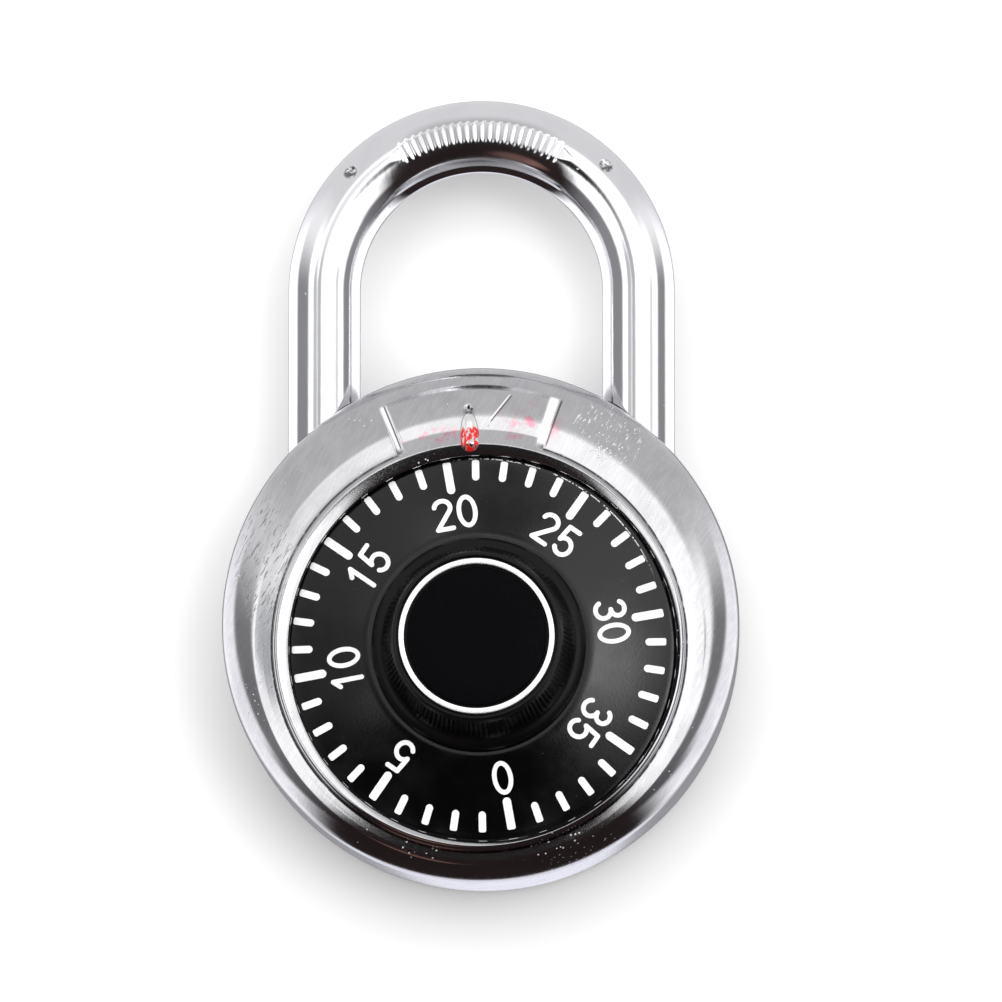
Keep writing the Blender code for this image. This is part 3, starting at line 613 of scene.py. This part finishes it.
def case_section():
    """The shell's section as stations, and the index of the first and last station of the front face."""
    rise = CASE_RISE
    wall = round_path([
        (23.25, rise, -1.05), (23.6, rise, CASE_REAR_Y), (24.25, rise, -0.95), (24.72, rise, -1.4),
        (24.88, rise, -2.4), (24.96, rise, -7.5), (CASE_RADIUS, rise, -12.0),
    ], 4)
    dome = round_path([
        (CASE_RADIUS, rise, -12.0), (24.95, 2.58, -12.9), (24.78, 2.5, -13.9), (24.46, 2.32, -14.8),
        (24.05, 2.08, -15.48), (23.6, 1.78, -16.02), (23.0, 1.37, -16.57), (22.35, 0.92, -17.03),
        (21.8, 0.55, -17.32), (21.4, 0.3, -17.45), (20.75, 0.0, -17.62),
    ], 5)[1:]
    bead = round_path([
        (20.75, 0, -17.62, 0), (20.08, 0, -17.76, 0), (19.96, 0, -17.86, 0), (19.88, 0, -18.25, 0),
        (19.74, 0, -18.68, 0), (19.48, 0, LIP_Y, 0), (19.2, -0.1, -18.86, 0.13), (18.85, -0.22, -18.74, 0.3),
        (18.66, -0.29, -18.62, 0.37), (18.6, -0.3, -18.45, 0.38), (18.66, -0.29, -18.25, 0.37),
        (19.05, -0.1, -18.05, 0.12), (19.42, 0, -17.75, 0), (RECESS_RADIUS, 0, -16.8, 0),
        (RECESS_RADIUS, 0, -15.35, 0), (19.3, 0, -15.08, 0), (18.9, 0, RECESS_FLOOR_Y, 0),
    ], 4)[1:]
    floor = [(3.4, 0, RECESS_FLOOR_Y), (3.3, 0, RECESS_FLOOR_Y + 0.1)]
    inside = [
        (3.3, 0, RECESS_FLOOR_Y + SHEET), (19.9, 0, RECESS_FLOOR_Y + SHEET), (20.3, 0, -14.6),
        (20.35, 0, -16.5), (20.95, 0.05, -16.75), (22.0, 0.9, -16.35), (22.9, 1.6, -15.8),
        (23.5, 2.1, -15.15), (23.95, 2.45, -14.3), (24.15, rise, -13.3), (24.2, rise, -12.4),
        (24.1, rise, -1.75), (23.3, rise, -1.65),
    ]
    first = len(wall) + 8
    last = len(wall) + len(dome) + 19
    return wall + dome + bead + floor + inside, first, last


def fine_top_angles():
    """Angles round the case, close together where the index plateau is."""
    coarse, fine, half_span = 1.5, 0.25, 30.0
    angles, angle = [], -half_span
    while angle < 360 - half_span:
        angles.append(math.radians(angle))
        angle += fine if angle < half_span else coarse
    return angles


def plateau_share(x, z):
    """1 on the raised sector that carries the index, 0 off it."""
    turn = math.degrees(math.atan2(x, z)) - INDEX_ANGLE
    if abs(turn) > PLATEAU_HALF_ANGLE + 5:
        return 0.0
    radius = math.hypot(x, z)
    edge = (PLATEAU_HALF_ANGLE - abs(turn)) * math.radians(1) * radius
    from_centre = math.hypot(x, z - CASE_RISE)
    side = soft_step((edge + 0.55) / 1.1)
    outer = soft_step((0.5 - from_centre + PLATEAU_OUTER) / 1.0) if radius > 21 else 1.0
    return min(side, outer)


def pit_depth(x, z):
    """The lanced hole just outside the index rib."""
    angle = math.radians(INDEX_ANGLE)
    centre = Vector((math.sin(angle), math.cos(angle))) * (RIB_OUTER + 0.2)
    distance = (Vector((x, z)) - centre).length
    return 0.4 * smoothstep(0.65, 0.0, distance)


def case_shell():
    stations, first, last = case_section()

    def raise_plateau(index, x, y, z):
        if not first <= index <= last or z < 0:
            return (x, y, z)
        share = plateau_share(x, z)
        radius = math.hypot(x, z)
        fillet = PLATEAU_Y + PLATEAU_SLOPE * (radius - PLATEAU_INNER)
        outer = smoothstep(20.3, 21.0, radius)
        raised = fillet + (y - PLATEAU_STEP - fillet) * outer if radius > PLATEAU_INNER else y
        return (x, y + (raised - y) * share + pit_depth(x, z) * (share > 0), z)

    rings = turned_rings(stations, fine_top_angles(), raise_plateau)
    shell = make_object("case_shell", skin(rings, True), satin_case(), 50)
    for side, name in ((-1, "heel_hole"), (1, "toe_hole")):
        start, end = (side * LEG_X, SHACKLE_Y, 12.0), (side * LEG_X, SHACKLE_Y, 30.0)
        carve(shell, cylinder(name, LEG_BORE, start, end, 64))
    shell.data.set_sharp_from_angle(angle=math.radians(50))
    fit(shell, "case", "front_case")


def index_rib():
    """A lanced tongue: steep at its outer end, running down over the lip at its inner end."""
    steps_along, steps_round = 28, 20
    angle = math.radians(INDEX_ANGLE)
    outward = Vector((math.sin(angle), 0, math.cos(angle)))
    across = Vector((math.cos(angle), 0, -math.sin(angle)))
    rings = []
    for step in range(steps_along + 1):
        t = step / steps_along
        radius = RIB_OUTER + (RIB_INNER - RIB_OUTER) * t
        end = math.sqrt(max(1 - (2 * t - 1) ** 6, 0.0))
        half_width = (0.66 + 0.24 * smoothstep(0.0, 0.5, t)) * max(end, 0.12)
        height = (0.62 - 0.22 * t) * max(end, 0.12)
        past_lip = max(radius - PLATEAU_INNER, 0.0)
        base_y = PLATEAU_Y + min(PLATEAU_SLOPE * past_lip, 0.45 + 0.25 * past_lip) + 0.05
        base_y += 0.32 * smoothstep(PLATEAU_INNER, RIB_INNER, radius)
        ring = []
        for turn in even_angles(steps_round):
            side, up = math.cos(turn), math.sin(turn)
            rise = height * up if up > 0 else 0.3 * up
            ring.append(outward * radius + across * half_width * side + Vector((0, base_y - rise, 0)))
        rings.append(ring)
    rib = make_object("index_rib", skin(rings, False), rib_finish(), 60)
    fit(rib, "case")


def rear_cover():
    """The pressed back: a plateau with one shallow ring groove, and the flange under the case's edge."""
    groove, half = 17.2, 0.45
    front = [
        (16.0, 0.0), (groove - half, 0.0), (groove - half / 2, -0.1), (groove, -0.13),
        (groove + half / 2, -0.1), (groove + half, 0.0), (20.9, 0.0), (21.35, -0.04), (21.75, -0.2),
        (22.05, -0.5), (22.2, -1.0), (22.4, -1.6), (22.75, -1.92), (23.75, -1.95), (23.8, -2.05),
    ]
    back = [(23.8, -2.6), (22.3, -2.6), (21.6, -2.1), (21.4, -0.9), (21.0, -0.8)]
    profile = [(1.0, 0.0), (8.0, 0.0)] + round_path(front, 3) + back
    steel = plain_metal("brushed_back", (0.6, 0.6, 0.61), 0.27, (0.5, 4, 9), (0.5, 0.5, 0.52), 0.015)
    cover = turned("rear_cover", profile, 180, False, steel, 40, rise=CASE_RISE)
    fit(cover, "case", "back_cover")


# Dial


def dial_y(radius):
    """The front of the dial at a radius: a shallow dish, level at the rim and steepest at the knob."""
    share = (DISH_OUTER - radius) / (DISH_OUTER - DISH_INNER)
    return DIAL_RIM_Y + (DIAL_CENTRE_Y - DIAL_RIM_Y) * min(max(share, 0.0), 1.0) ** 1.35


def dial_plate():
    profile = [(SPINDLE_HOLE, DIAL_REAR_Y), (18.6, DIAL_REAR_Y), (DIAL_RADIUS, DIAL_REAR_Y - 0.4)]
    profile += [(DIAL_RADIUS, DIAL_RIM_Y + 0.3), (DIAL_RADIUS - 0.05, DIAL_RIM_Y + 0.12)]
    profile += [(DIAL_RADIUS - 0.14, DIAL_RIM_Y + 0.03), (DISH_OUTER, DIAL_RIM_Y)]
    steps = 16
    for step in range(1, steps + 1):
        radius = DISH_OUTER + (DISH_INNER - DISH_OUTER) * step / steps
        profile.append((radius, dial_y(radius)))
    profile += [(DISH_INNER - 0.2, DIAL_CENTRE_Y), (SPINDLE_HOLE, DIAL_CENTRE_Y)]
    plate = turned("dial_plate", profile, 180, True, dial_finish(), 40)
    fit(plate, "dial", "dial")


def on_dial(across, outward, degrees, lift):
    """A point on the dial's cone: across and outward in millimetres, turned clockwise from the top."""
    angle = math.radians(degrees)
    x = across * math.cos(angle) + outward * math.sin(angle)
    z = -across * math.sin(angle) + outward * math.cos(angle)
    return (x, dial_y(math.hypot(x, z)) - lift, z)


def flat_solid(name, loops):
    """A thin solid from an outline and holes in (across, outward); its Y is height above the dial."""
    bm = bmesh.new()
    for loop in loops:
        row = [bm.verts.new((x, PAINT, z)) for x, z in loop]
        for one, two in zip(row, row[1:] + row[:1]):
            bm.edges.new((one, two))
    bmesh.ops.triangle_fill(bm, use_beauty=True, use_dissolve=False, edges=bm.edges[:])
    grown = bmesh.ops.extrude_face_region(bm, geom=bm.faces[:])["geom"]
    back = [part for part in grown if isinstance(part, bmesh.types.BMVert)]
    bmesh.ops.translate(bm, vec=(0, -PAINT - PAINT_ROOT, 0), verts=back)
    bmesh.ops.recalc_face_normals(bm, faces=bm.faces)
    return add_mesh(name, bm)


def place_mark(bm, mesh, across, outward, degrees):
    """Copies a thin solid onto the dial's cone."""
    corners = []
    for vertex in mesh.vertices:
        x, height, z = vertex.co
        corners.append(bm.verts.new(on_dial(x + across, z + outward, degrees, height)))
    for face in mesh.polygons:
        bm.faces.new([corners[index] for index in face.vertices])


def arc(centre, radii, start, end, steps):
    """Points on an elliptical arc, angles in degrees anticlockwise from the right."""
    points = []
    for step in range(steps + 1):
        angle = math.radians(start + (end - start) * step / steps)
        points.append((centre[0] + radii[0] * math.cos(angle), centre[1] + radii[1] * math.sin(angle)))
    return points


def tick_outline(length, width):
    """Square at its outer end, round at its inner end."""
    half = width / 2
    inner = TICK_OUTER - length + half
    corner = 0.12
    outer = [(half, TICK_OUTER - corner), (half - corner, TICK_OUTER)]
    outer += [(-half + corner, TICK_OUTER), (-half, TICK_OUTER - corner)]
    return outer + arc((0, inner), (half, half), 180, 360, 10)


def stroke_outline(path, half):
    """The outline of an open path drawn with a round pen."""

    def heading(one, two):
        return math.atan2(two[1] - one[1], two[0] - one[0])

    def side_points(points):
        """The left side of the path from its start to its end, round on the outside of its corners."""
        side = []
        for index in range(1, len(points) - 1):
            here = points[index]
            before = heading(points[index - 1], here)
            after = heading(here, points[index + 1])
            turn = (after - before + math.pi) % (2 * math.pi) - math.pi
            if turn >= -0.01:
                reach = half / math.cos(turn / 2)
                aim = before + turn / 2 + math.pi / 2
                side.append((here[0] + reach * math.cos(aim), here[1] + reach * math.sin(aim)))
            else:
                steps = max(1, round(abs(math.degrees(turn)) / 15))
                for step in range(steps + 1):
                    aim = before + turn * step / steps + math.pi / 2
                    side.append((here[0] + half * math.cos(aim), here[1] + half * math.sin(aim)))
        return side

    def end_cap(point, aim):
        degrees = math.degrees(aim)
        return arc(point, (half, half), degrees + 90, degrees - 90, 10)

    there = side_points(path)
    back = side_points(path[::-1])
    end = end_cap(path[-1], heading(path[-2], path[-1]))
    start = end_cap(path[0], heading(path[1], path[0]))
    return there + end + back + start


def digit_strokes(digit):
    """Closed shapes that together make a digit, centred on (0, 0), drawn with a round pen."""
    half = STROKE / 2
    wide, tall = DIGIT_WIDTH / 2 - half, DIGIT_HEIGHT / 2 - half
    if digit == "0":
        outer = arc((0, 0), (wide + half, tall + half), 0, 352.5, 47)
        inner = arc((0, 0), (wide - half, tall - half), 0, 345, 23)
        return [[outer, inner]]
    if digit == "1":
        path = [(-wide * 0.55, tall * 0.55), (wide * 0.2, tall), (wide * 0.2, -tall)]
        return [[stroke_outline(path, half)]]
    if digit == "2":
        bowl = tall * 0.5
        hook = arc((0, tall - bowl), (wide, bowl), 168, -32, 14)
        return [[stroke_outline(hook + [(-wide * 0.95, -tall)], half)],
                [stroke_outline([(-wide * 0.95, -tall), (wide, -tall)], half)]]
    if digit == "3":
        upper, lower = tall * 0.47, tall * 0.53
        top = arc((0, tall - upper), (wide * 0.9, upper), 155, -90, 16)
        bottom = arc((0, -tall + lower), (wide, lower), 90, -155, 18)
        return [[stroke_outline(top, half)], [stroke_outline(bottom, half)]]
    bowl = tall * 0.6
    stem = [(wide * 0.82, tall), (-wide * 0.62, tall), (-wide * 0.84, -tall * 0.02)]
    curve = arc((0, -tall + bowl), (wide, bowl), 146, -150, 20)
    return [[stroke_outline(stem, half)], [stroke_outline(curve, half)]]


def digit_shape(digit):
    strokes = digit_strokes(digit)
    shape = flat_solid("digit_" + digit, strokes[0])
    for loops in strokes[1:]:
        carve(shape, flat_solid("stroke", loops), "UNION")
    return shape


def dial_marks():
    paint = white_paint()
    minor = flat_solid("minor_tick", [tick_outline(MINOR_TICK, MINOR_WIDTH)])
    major = flat_solid("major_tick", [tick_outline(MAJOR_TICK, MAJOR_WIDTH)])
    shapes = {digit: digit_shape(digit) for digit in "01235"}
    ticks = bmesh.new()
    digits = bmesh.new()
    for number in range(DIVISIONS):
        degrees = (number - POINTED_NUMBER) * 360 / DIVISIONS + DIAL_OFFSET
        place_mark(ticks, (minor if number % NUMBERED else major).data, 0, 0, degrees)
        if number % NUMBERED:
            continue
        text = str(number)
        for place, digit in enumerate(text):
            across = (place - (len(text) - 1) / 2) * (DIGIT_WIDTH + DIGIT_GAP)
            place_mark(digits, shapes[digit].data, across, NUMBER_RADIUS, degrees)
    for helper in (minor, major, *shapes.values()):
        bpy.data.objects.remove(helper, do_unlink=True)
    for name, bm in (("dial_ticks", ticks), ("dial_numbers", digits)):
        fit(make_object(name, bm, paint, 30), "dial")


def knob_body():
    """A round foot, a finely fluted taper and a thin rim round the pocket of the ring and cap."""
    flutes, steps_per_flute, depth = 120, 6, 0.16
    top_radius = RING_HIGH.x + 0.65
    knurl_low, knurl_high = KNOB_BASE_Y - 1.55, KNOB_TOP_Y + 0.55
    foot = round_path([
        (KNOB_BASE_RADIUS - 0.15, KNOB_BASE_Y), (KNOB_BASE_RADIUS, KNOB_BASE_Y - 0.2),
        (KNOB_BASE_RADIUS - 0.08, KNOB_BASE_Y - 0.65), (KNOB_BASE_RADIUS - 0.45, KNOB_BASE_Y - 1.05),
        (9.35, KNOB_BASE_Y - 1.3),
    ], 3)
    taper = []
    rows = 12
    for row in range(rows + 1):
        share = row / rows
        radius = 9.2 + (top_radius + 0.15 - 9.2) * share ** 0.8
        taper.append((radius, knurl_low + (knurl_high - knurl_low) * share))
    rim = round_path([
        (top_radius + 0.08, knurl_high - 0.15), (top_radius, KNOB_TOP_Y + 0.2),
        (top_radius - 0.12, KNOB_TOP_Y + 0.04), (top_radius - 0.25, KNOB_TOP_Y),
    ], 3)
    pocket_y = RING_HIGH.y + 0.3
    pocket = [(RING_HIGH.x + 0.3, KNOB_TOP_Y + 0.02), (RING_HIGH.x + 0.3, pocket_y)]
    bore = [(SPINDLE_HOLE, -22.3), (SPINDLE_HOLE, KNOB_BASE_Y)]
    profile = bore + foot + taper + rim + pocket
    first = len(bore) + len(foot)
    last = first + len(taper) - 1

    def flute(index, x, y, z):
        if not first < index < last:
            return (x, y, z)
        turn = math.atan2(x, z) * flutes
        fade = min(index - first, last - index, 2) / 2
        shrink = 1 - depth * fade * (0.5 + 0.5 * math.cos(turn)) / math.hypot(x, z)
        return (x * shrink, y, z * shrink)

    black = black_finish("knob_black", (0.002, 0.002, 0.002), 0.36, 0.2, (-0.04, 0.1), 0.35).done(0.008)
    knob = turned("knob_body", profile, flutes * steps_per_flute, False, black, 50, flute)
    fit(knob, "dial", "knob")


def knob_face():
    """The bright ring and the cap inside it."""
    inner, outer = RING_HIGH.x - 0.5, RING_HIGH.x
    front, rear = RING_LOW.y, RING_HIGH.y
    crown = round_path([
        (inner, rear), (inner, front + 0.12), (inner + 0.05, front + 0.03), (inner + 0.14, front),
        (outer - 0.14, front), (outer - 0.05, front + 0.03), (outer, front + 0.12), (outer, rear),
    ], 2)
    ring = turned("knob_bright_ring", crown, 160, True, bright_ring(), 50)
    fit(ring, "dial", "knob_ring")
    radius = CAP_HIGH.x
    edge = [(radius, CAP_HIGH.y), (radius, CAP_LOW.y + 0.12), (radius - 0.05, CAP_LOW.y + 0.03)]
    edge += [(radius - 0.14, CAP_LOW.y), (radius * 0.6, CAP_LOW.y), (0.5, CAP_LOW.y)]
    cap = turned("knob_flat_cap", edge, 120, False, cap_black(), 50)
    fit(cap, "dial", "knob_cap")


# Shackle


CROWN_HALF = math.radians(36)  # half the angle of the stamped flat
CROWN_DEPTH = 0.1
HATCH_PITCH = math.radians(2.8)
HATCH_COUNT = 22
HATCH_HALF_HEIGHT = 1.0
DENT_ANGLES = (math.radians(-48), math.radians(45.5))
DENT_OFF = 1.8  # off the bar's middle, to the outside


def hatch_depth(angle, off_centre):
    """Depth of a row of plain strokes: angle from the crown's top, and height across the bar."""
    first = -(HATCH_COUNT - 1) / 2
    nearest = round(min(max(angle / HATCH_PITCH - first, 0), HATCH_COUNT - 1))
    distance = abs(angle - (first + nearest) * HATCH_PITCH) * LEG_X
    ends = smoothstep(HATCH_HALF_HEIGHT + 0.12, HATCH_HALF_HEIGHT - 0.12, abs(off_centre))
    return 0.045 * ends * smoothstep(0.27, 0.08, distance)


def dent_depth(angle, off_centre):
    """Two small nicks where the bar was gripped as it was bent."""
    depth = 0.0
    for place in DENT_ANGLES:
        along = (angle - place) * LEG_X / 0.75
        across = (off_centre - DENT_OFF) / 0.5
        depth = max(depth, 0.22 * smoothstep(1.0, 0.35, math.hypot(along, across)))
    return depth


def bar_point(centre, outward, turn, radius, crown_angle=None):
    """A point of the bar's surface. turn 0 faces the front, positive towards outward."""
    forward = radius * math.cos(turn)
    off = radius * math.sin(turn)
    if crown_angle is not None and forward > 0:
        fade = smoothstep(CROWN_HALF, CROWN_HALF - 0.16, abs(crown_angle))
        over = forward - (radius - CROWN_DEPTH * fade)
        if over > 0:
            forward -= over * 0.85
        forward -= hatch_depth(crown_angle, off) * fade + dent_depth(crown_angle, off)
    return centre + outward * off + Vector((0, -forward, 0))


def shackle_turns():
    """Angles round the bar, closer together on the front half."""
    fine, coarse = 72, 36
    front = [math.pi * (step / fine - 0.5) for step in range(fine)]
    back = [math.pi * (0.5 + step / coarse) for step in range(coarse)]
    return front + back


def shackle_bar():
    turns = shackle_turns()
    rings = []
    clip_middle = (CLIP_LOW.z + CLIP_HIGH.z) / 2
    groove = (CLIP_HIGH.z - CLIP_LOW.z) / 2 + 0.3
    small = WIRE_RADIUS - 0.65

    def add_leg(x, z, radius=WIRE_RADIUS):
        outward = Vector((math.copysign(1.0, x), 0, 0))
        rings.append([bar_point(Vector((x, SHACKLE_Y, z)), outward, turn, radius) for turn in turns])

    for step in range(5):
        angle = math.pi / 2 * step / 4
        add_leg(-LEG_X, HEEL_END_Z + 0.6 * (1 - math.cos(angle)), WIRE_RADIUS - 0.6 * (1 - math.sin(angle)))
    for z, radius in ((-groove, WIRE_RADIUS), (-groove, small), (groove, small), (groove, WIRE_RADIUS)):
        add_leg(-LEG_X, clip_middle + z, radius)
    for step in range(10):
        add_leg(-LEG_X, -5.0 + (ARCH_Z + 4.0) * step / 9)
    angle = 0.0
    while angle < math.pi + 0.001:
        outward = Vector((-math.cos(angle), 0, math.sin(angle)))
        centre = outward * LEG_X + Vector((0, SHACKLE_Y, ARCH_Z))
        crown_angle = angle - math.pi / 2
        rings.append([bar_point(centre, outward, turn, WIRE_RADIUS, crown_angle) for turn in turns])
        angle += math.radians(0.35 if abs(crown_angle) < math.radians(58) else 1.6)
    for step in range(8):
        add_leg(LEG_X, ARCH_Z - 1.5 - (ARCH_Z - 1.5 - TOE_END_Z - 2.0) * step / 7)
    for step in range(1, 8):
        angle = math.pi / 2 * step / 7
        add_leg(LEG_X, TOE_END_Z + 1.8 * (1 - math.sin(angle)), WIRE_RADIUS - 1.2 * (1 - math.cos(angle)))
    bar = make_object("shackle_bar", skin(rings, False), chrome(), 45)
    inner_x = LEG_X - WIRE_RADIUS
    bm = bmesh.new()
    low = Vector((inner_x - 2, SHACKLE_Y - 5, NOTCH_Z - 1.5))
    high = Vector((inner_x + 1.2, SHACKLE_Y + 5, NOTCH_Z + 1.5))
    size = Matrix.Diagonal((*(high - low), 1.0))
    bmesh.ops.create_cube(bm, size=1.0, matrix=Matrix.Translation((low + high) / 2) @ size)
    carve(bar, make_object("toe_notch", bm, None))
    bar.data.set_sharp_from_angle(angle=math.radians(45))
    fit(bar, "shackle", "shackle")


# Carried-over CAD nodes


def dress_inside():
    """Detailed finishes for the pieces whose CAD shape is shown as it is."""
    zinc = plain_metal("cast_zinc", (0.52, 0.52, 0.53), 0.5, (3, 3, 3), None, 0.03)
    plated = plain_metal("zinc_plated_steel", (0.6, 0.59, 0.54), 0.36, (8, 2, 8), (0.5, 0.47, 0.36))
    pressed = plain_metal("pressed_steel", (0.46, 0.46, 0.46), 0.42, (6, 6, 1.5))
    brass = plain_metal("stamped_brass", (0.78, 0.6, 0.3), 0.3, (6, 6, 6), (0.62, 0.43, 0.18))
    spring = plain_metal("spring_wire", (0.42, 0.42, 0.45), 0.3, (9, 9, 2))
    groups = (
        (plated, "inner_case frame_plate lever_pin spindle"),
        (brass, "wheel_post spacer_1 spacer_2 disc_1 disc_2"),
        (spring, "spring_washer latch_spring lever_spring spindle_clip heel_clip"),
        (zinc, "heel_guide toe_guide latch_guide drive_cam"),
        (pressed, "latch fence_lever"),
    )
    finishes = {name: finish for finish, names in groups for name in names.split()}
    for name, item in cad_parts.items():
        finish = plated if name.startswith("rivet") else finishes.get(name)
        if finish:
            item.data.materials.clear()
            item.data.materials.append(finish)


# Stage, light and camera


def see_through_from_behind(name, colour):
    """A matt colour from the front, nothing from behind."""
    material = bpy.data.materials.new(name)
    material.use_nodes = True
    tree = Nodes(material.node_tree)
    tree.nodes.clear()
    diffuse, clear, mix, output = (tree.nodes.new("ShaderNode" + kind) for kind in (
        "BsdfDiffuse", "BsdfTransparent", "MixShader", "OutputMaterial"))
    tree.feed(diffuse.inputs["Color"], colour)
    backfacing = tree.nodes.new("ShaderNodeNewGeometry").outputs["Backfacing"]
    for index, source in enumerate((backfacing, diffuse.outputs[0], clear.outputs[0])):
        tree.feed(mix.inputs[index], source)
    tree.feed(output.inputs["Surface"], mix.outputs[0])
    return material


def board(name, centre, normal, half, material):
    """A flat square with its front towards normal, in metres."""
    turn = Vector(normal).to_track_quat("Z", "Y").to_matrix().to_4x4()
    bm = bmesh.new()
    bmesh.ops.create_grid(bm, x_segments=1, y_segments=1, size=half,
                          matrix=Matrix.Translation(centre) @ turn)
    item = add_mesh(name, bm)
    item.data.materials.append(material)
    return item


def stage():
    """The table the lock lies on in the picture, behind its back, and a floor under its lowest point."""
    white = see_through_from_behind("pale_board", (0.93, 0.93, 0.93))
    table = board("table", (0, 0.6 * MM, 0), (0, -1, 0), 1.5, white)
    table.visible_glossy = False
    floor = board("floor", (0, 0, (CASE_LOW.z - 0.2) * MM), (0, 0, 1), 1.5, white)
    floor.visible_glossy = floor.visible_diffuse = floor.visible_shadow = False


class World(Nodes):
    """The surroundings that the metal mirrors, as a function of direction."""

    def __init__(self):
        world = bpy.data.worlds.new("studio")
        bpy.context.scene.world = world
        world.use_nodes = True
        super().__init__(world.node_tree)
        self.nodes.clear()
        self.way = self.nodes.new("ShaderNodeTexCoord").outputs["Generated"]
        self.mirrored = (WHITE, WHITE, WHITE)

    def lay(self, share, *colour):
        self.mirrored = self.mix(share, self.mirrored, colour)

    def spot(self, azimuth, elevation, inner, outer):
        """1 within inner degrees of a direction, 0 beyond outer degrees."""
        node = self.nodes.new("ShaderNodeVectorMath")
        node.operation = "DOT_PRODUCT"
        self.feed(node.inputs[0], self.way)
        node.inputs[1].default_value = direction(azimuth, elevation)
        return self.ramp(node.outputs["Value"], math.cos(math.radians(outer)), math.cos(math.radians(inner)))


def surroundings():
    """What the metal mirrors: white all round, grey above, dark below and along the sides' horizon.

    Directions are told apart by facing, the cosine to straight out of the dial, and by turn, the angle
    in degrees round that line from straight down (0) to straight up (180). Later layers cover earlier ones.
    """
    world = World()
    ramp, times, lay, spot = world.ramp, world.times, world.lay, world.spot
    parts = world.nodes.new("ShaderNodeSeparateXYZ")
    world.feed(parts.inputs[0], world.way)
    facing, down = times(parts.outputs["Y"], -1.0), times(parts.outputs["Z"], -1.0)
    sideways = world.math("ABSOLUTE", parts.outputs["X"])
    turn = world.math("DEGREES", world.math("ARCTAN2", sideways, down))
    lean = world.plus(facing, times(parts.outputs["X"], 0.12))
    behind = ramp(facing, 0.0, -0.16)
    above = times(ramp(turn, 108, 132), ramp(lean, 0.88, 0.76))
    horizon = times(ramp(lean, 0.62, 0.46), ramp(facing, -0.2, 0.0), ramp(turn, 130, 98))
    grazing = times(ramp(facing, -0.86, -0.97), ramp(turn, 40, 70))
    lower_side = times(ramp(turn, 74, 58), ramp(facing, 0.66, 0.42), ramp(facing, -0.45, -0.2))
    below = times(ramp(turn, 58, 42), ramp(down, 0.05, 0.14), ramp(facing, -0.97, -0.93))
    wall_glow = times(ramp(turn, 62, 48), ramp(facing, -0.93, -0.975))
    lay(behind, 1.45, 1.45, 1.5)
    lay(above, 0.80, 0.80, 0.81)
    lay(spot(0, 20, 3, 7), 0.55, 0.55, 0.56)
    lay(spot(-12, 14, 4, 9), 1.0, 1.0, 1.0)
    lay(spot(-15, 5, 3, 8), 0.55, 0.55, 0.56)
    lay(spot(18, 4, 2, 9), 6.0, 6.0, 6.0)
    lay(spot(-28, 6, 3, 9), 0.62, 0.63, 0.65)
    lay(spot(42, 6, 2, 7), 0.85, 0.85, 0.87)
    lay(horizon, 0.30, 0.30, 0.31)
    lay(grazing, 0.34, 0.34, 0.36)
    lay(lower_side, 0.20, 0.19, 0.20)
    lay(below, 0.026, 0.018, 0.018)
    lay(spot(-3, -8, 10, 16), 0.02, 0.02, 0.02)
    lay(wall_glow, 1.0, 1.0, 1.12)
    lay(spot(-34, -56, 5, 15), 0.26, 0.14, 0.12)
    path = world.nodes.new("ShaderNodeLightPath")
    lay(path.outputs["Is Camera Ray"], 1.0, 1.0, 1.0)
    background = world.nodes.new("ShaderNodeBackground")
    world.feed(background.inputs["Color"], world.mirrored)
    output = world.nodes.new("ShaderNodeOutputWorld")
    world.feed(output.inputs["Surface"], background.outputs[0])


def camera():
    """A long lens, a little below the lock's own axis and to its right, as the lock lies on the table."""
    back = direction(CAMERA_AZIMUTH, CAMERA_ELEVATION)
    right = direction(CAMERA_AZIMUTH + 90, 0)
    up = back.cross(right)
    dial_centre = Vector((0, DIAL_RIM_Y, 0))
    target = (dial_centre + right * AIM_RIGHT + up * AIM_UP) * MM
    data = bpy.data.cameras.new("camera")
    data.sensor_width = 36
    data.lens = 36 * CAMERA_DISTANCE / FRAME_WIDTH
    item = add_object("camera", data)
    item.location = target + back * CAMERA_DISTANCE * MM
    item.rotation_euler = (-back).to_track_quat("-Z", "Y").to_euler()
    bpy.context.scene.camera = item


def soft_light(name, azimuth, elevation, size, power):
    way = direction(azimuth, elevation)
    data = bpy.data.lights.new(name, "AREA")
    data.shape = "DISK"
    data.size = size
    data.energy = power
    item = add_object(name, data)
    item.location = way * 0.7
    item.rotation_euler = (-way).to_track_quat("-Z", "Y").to_euler()
    item.visible_glossy = False


case_shell()
index_rib()
rear_cover()
dial_plate()
dial_marks()
knob_body()
knob_face()
shackle_bar()
dress_inside()
stage()
surroundings()
camera()
soft_light("front_light", 0, 4, 0.9, 3.5)
bpy.context.scene.view_settings.view_transform = "Standard"
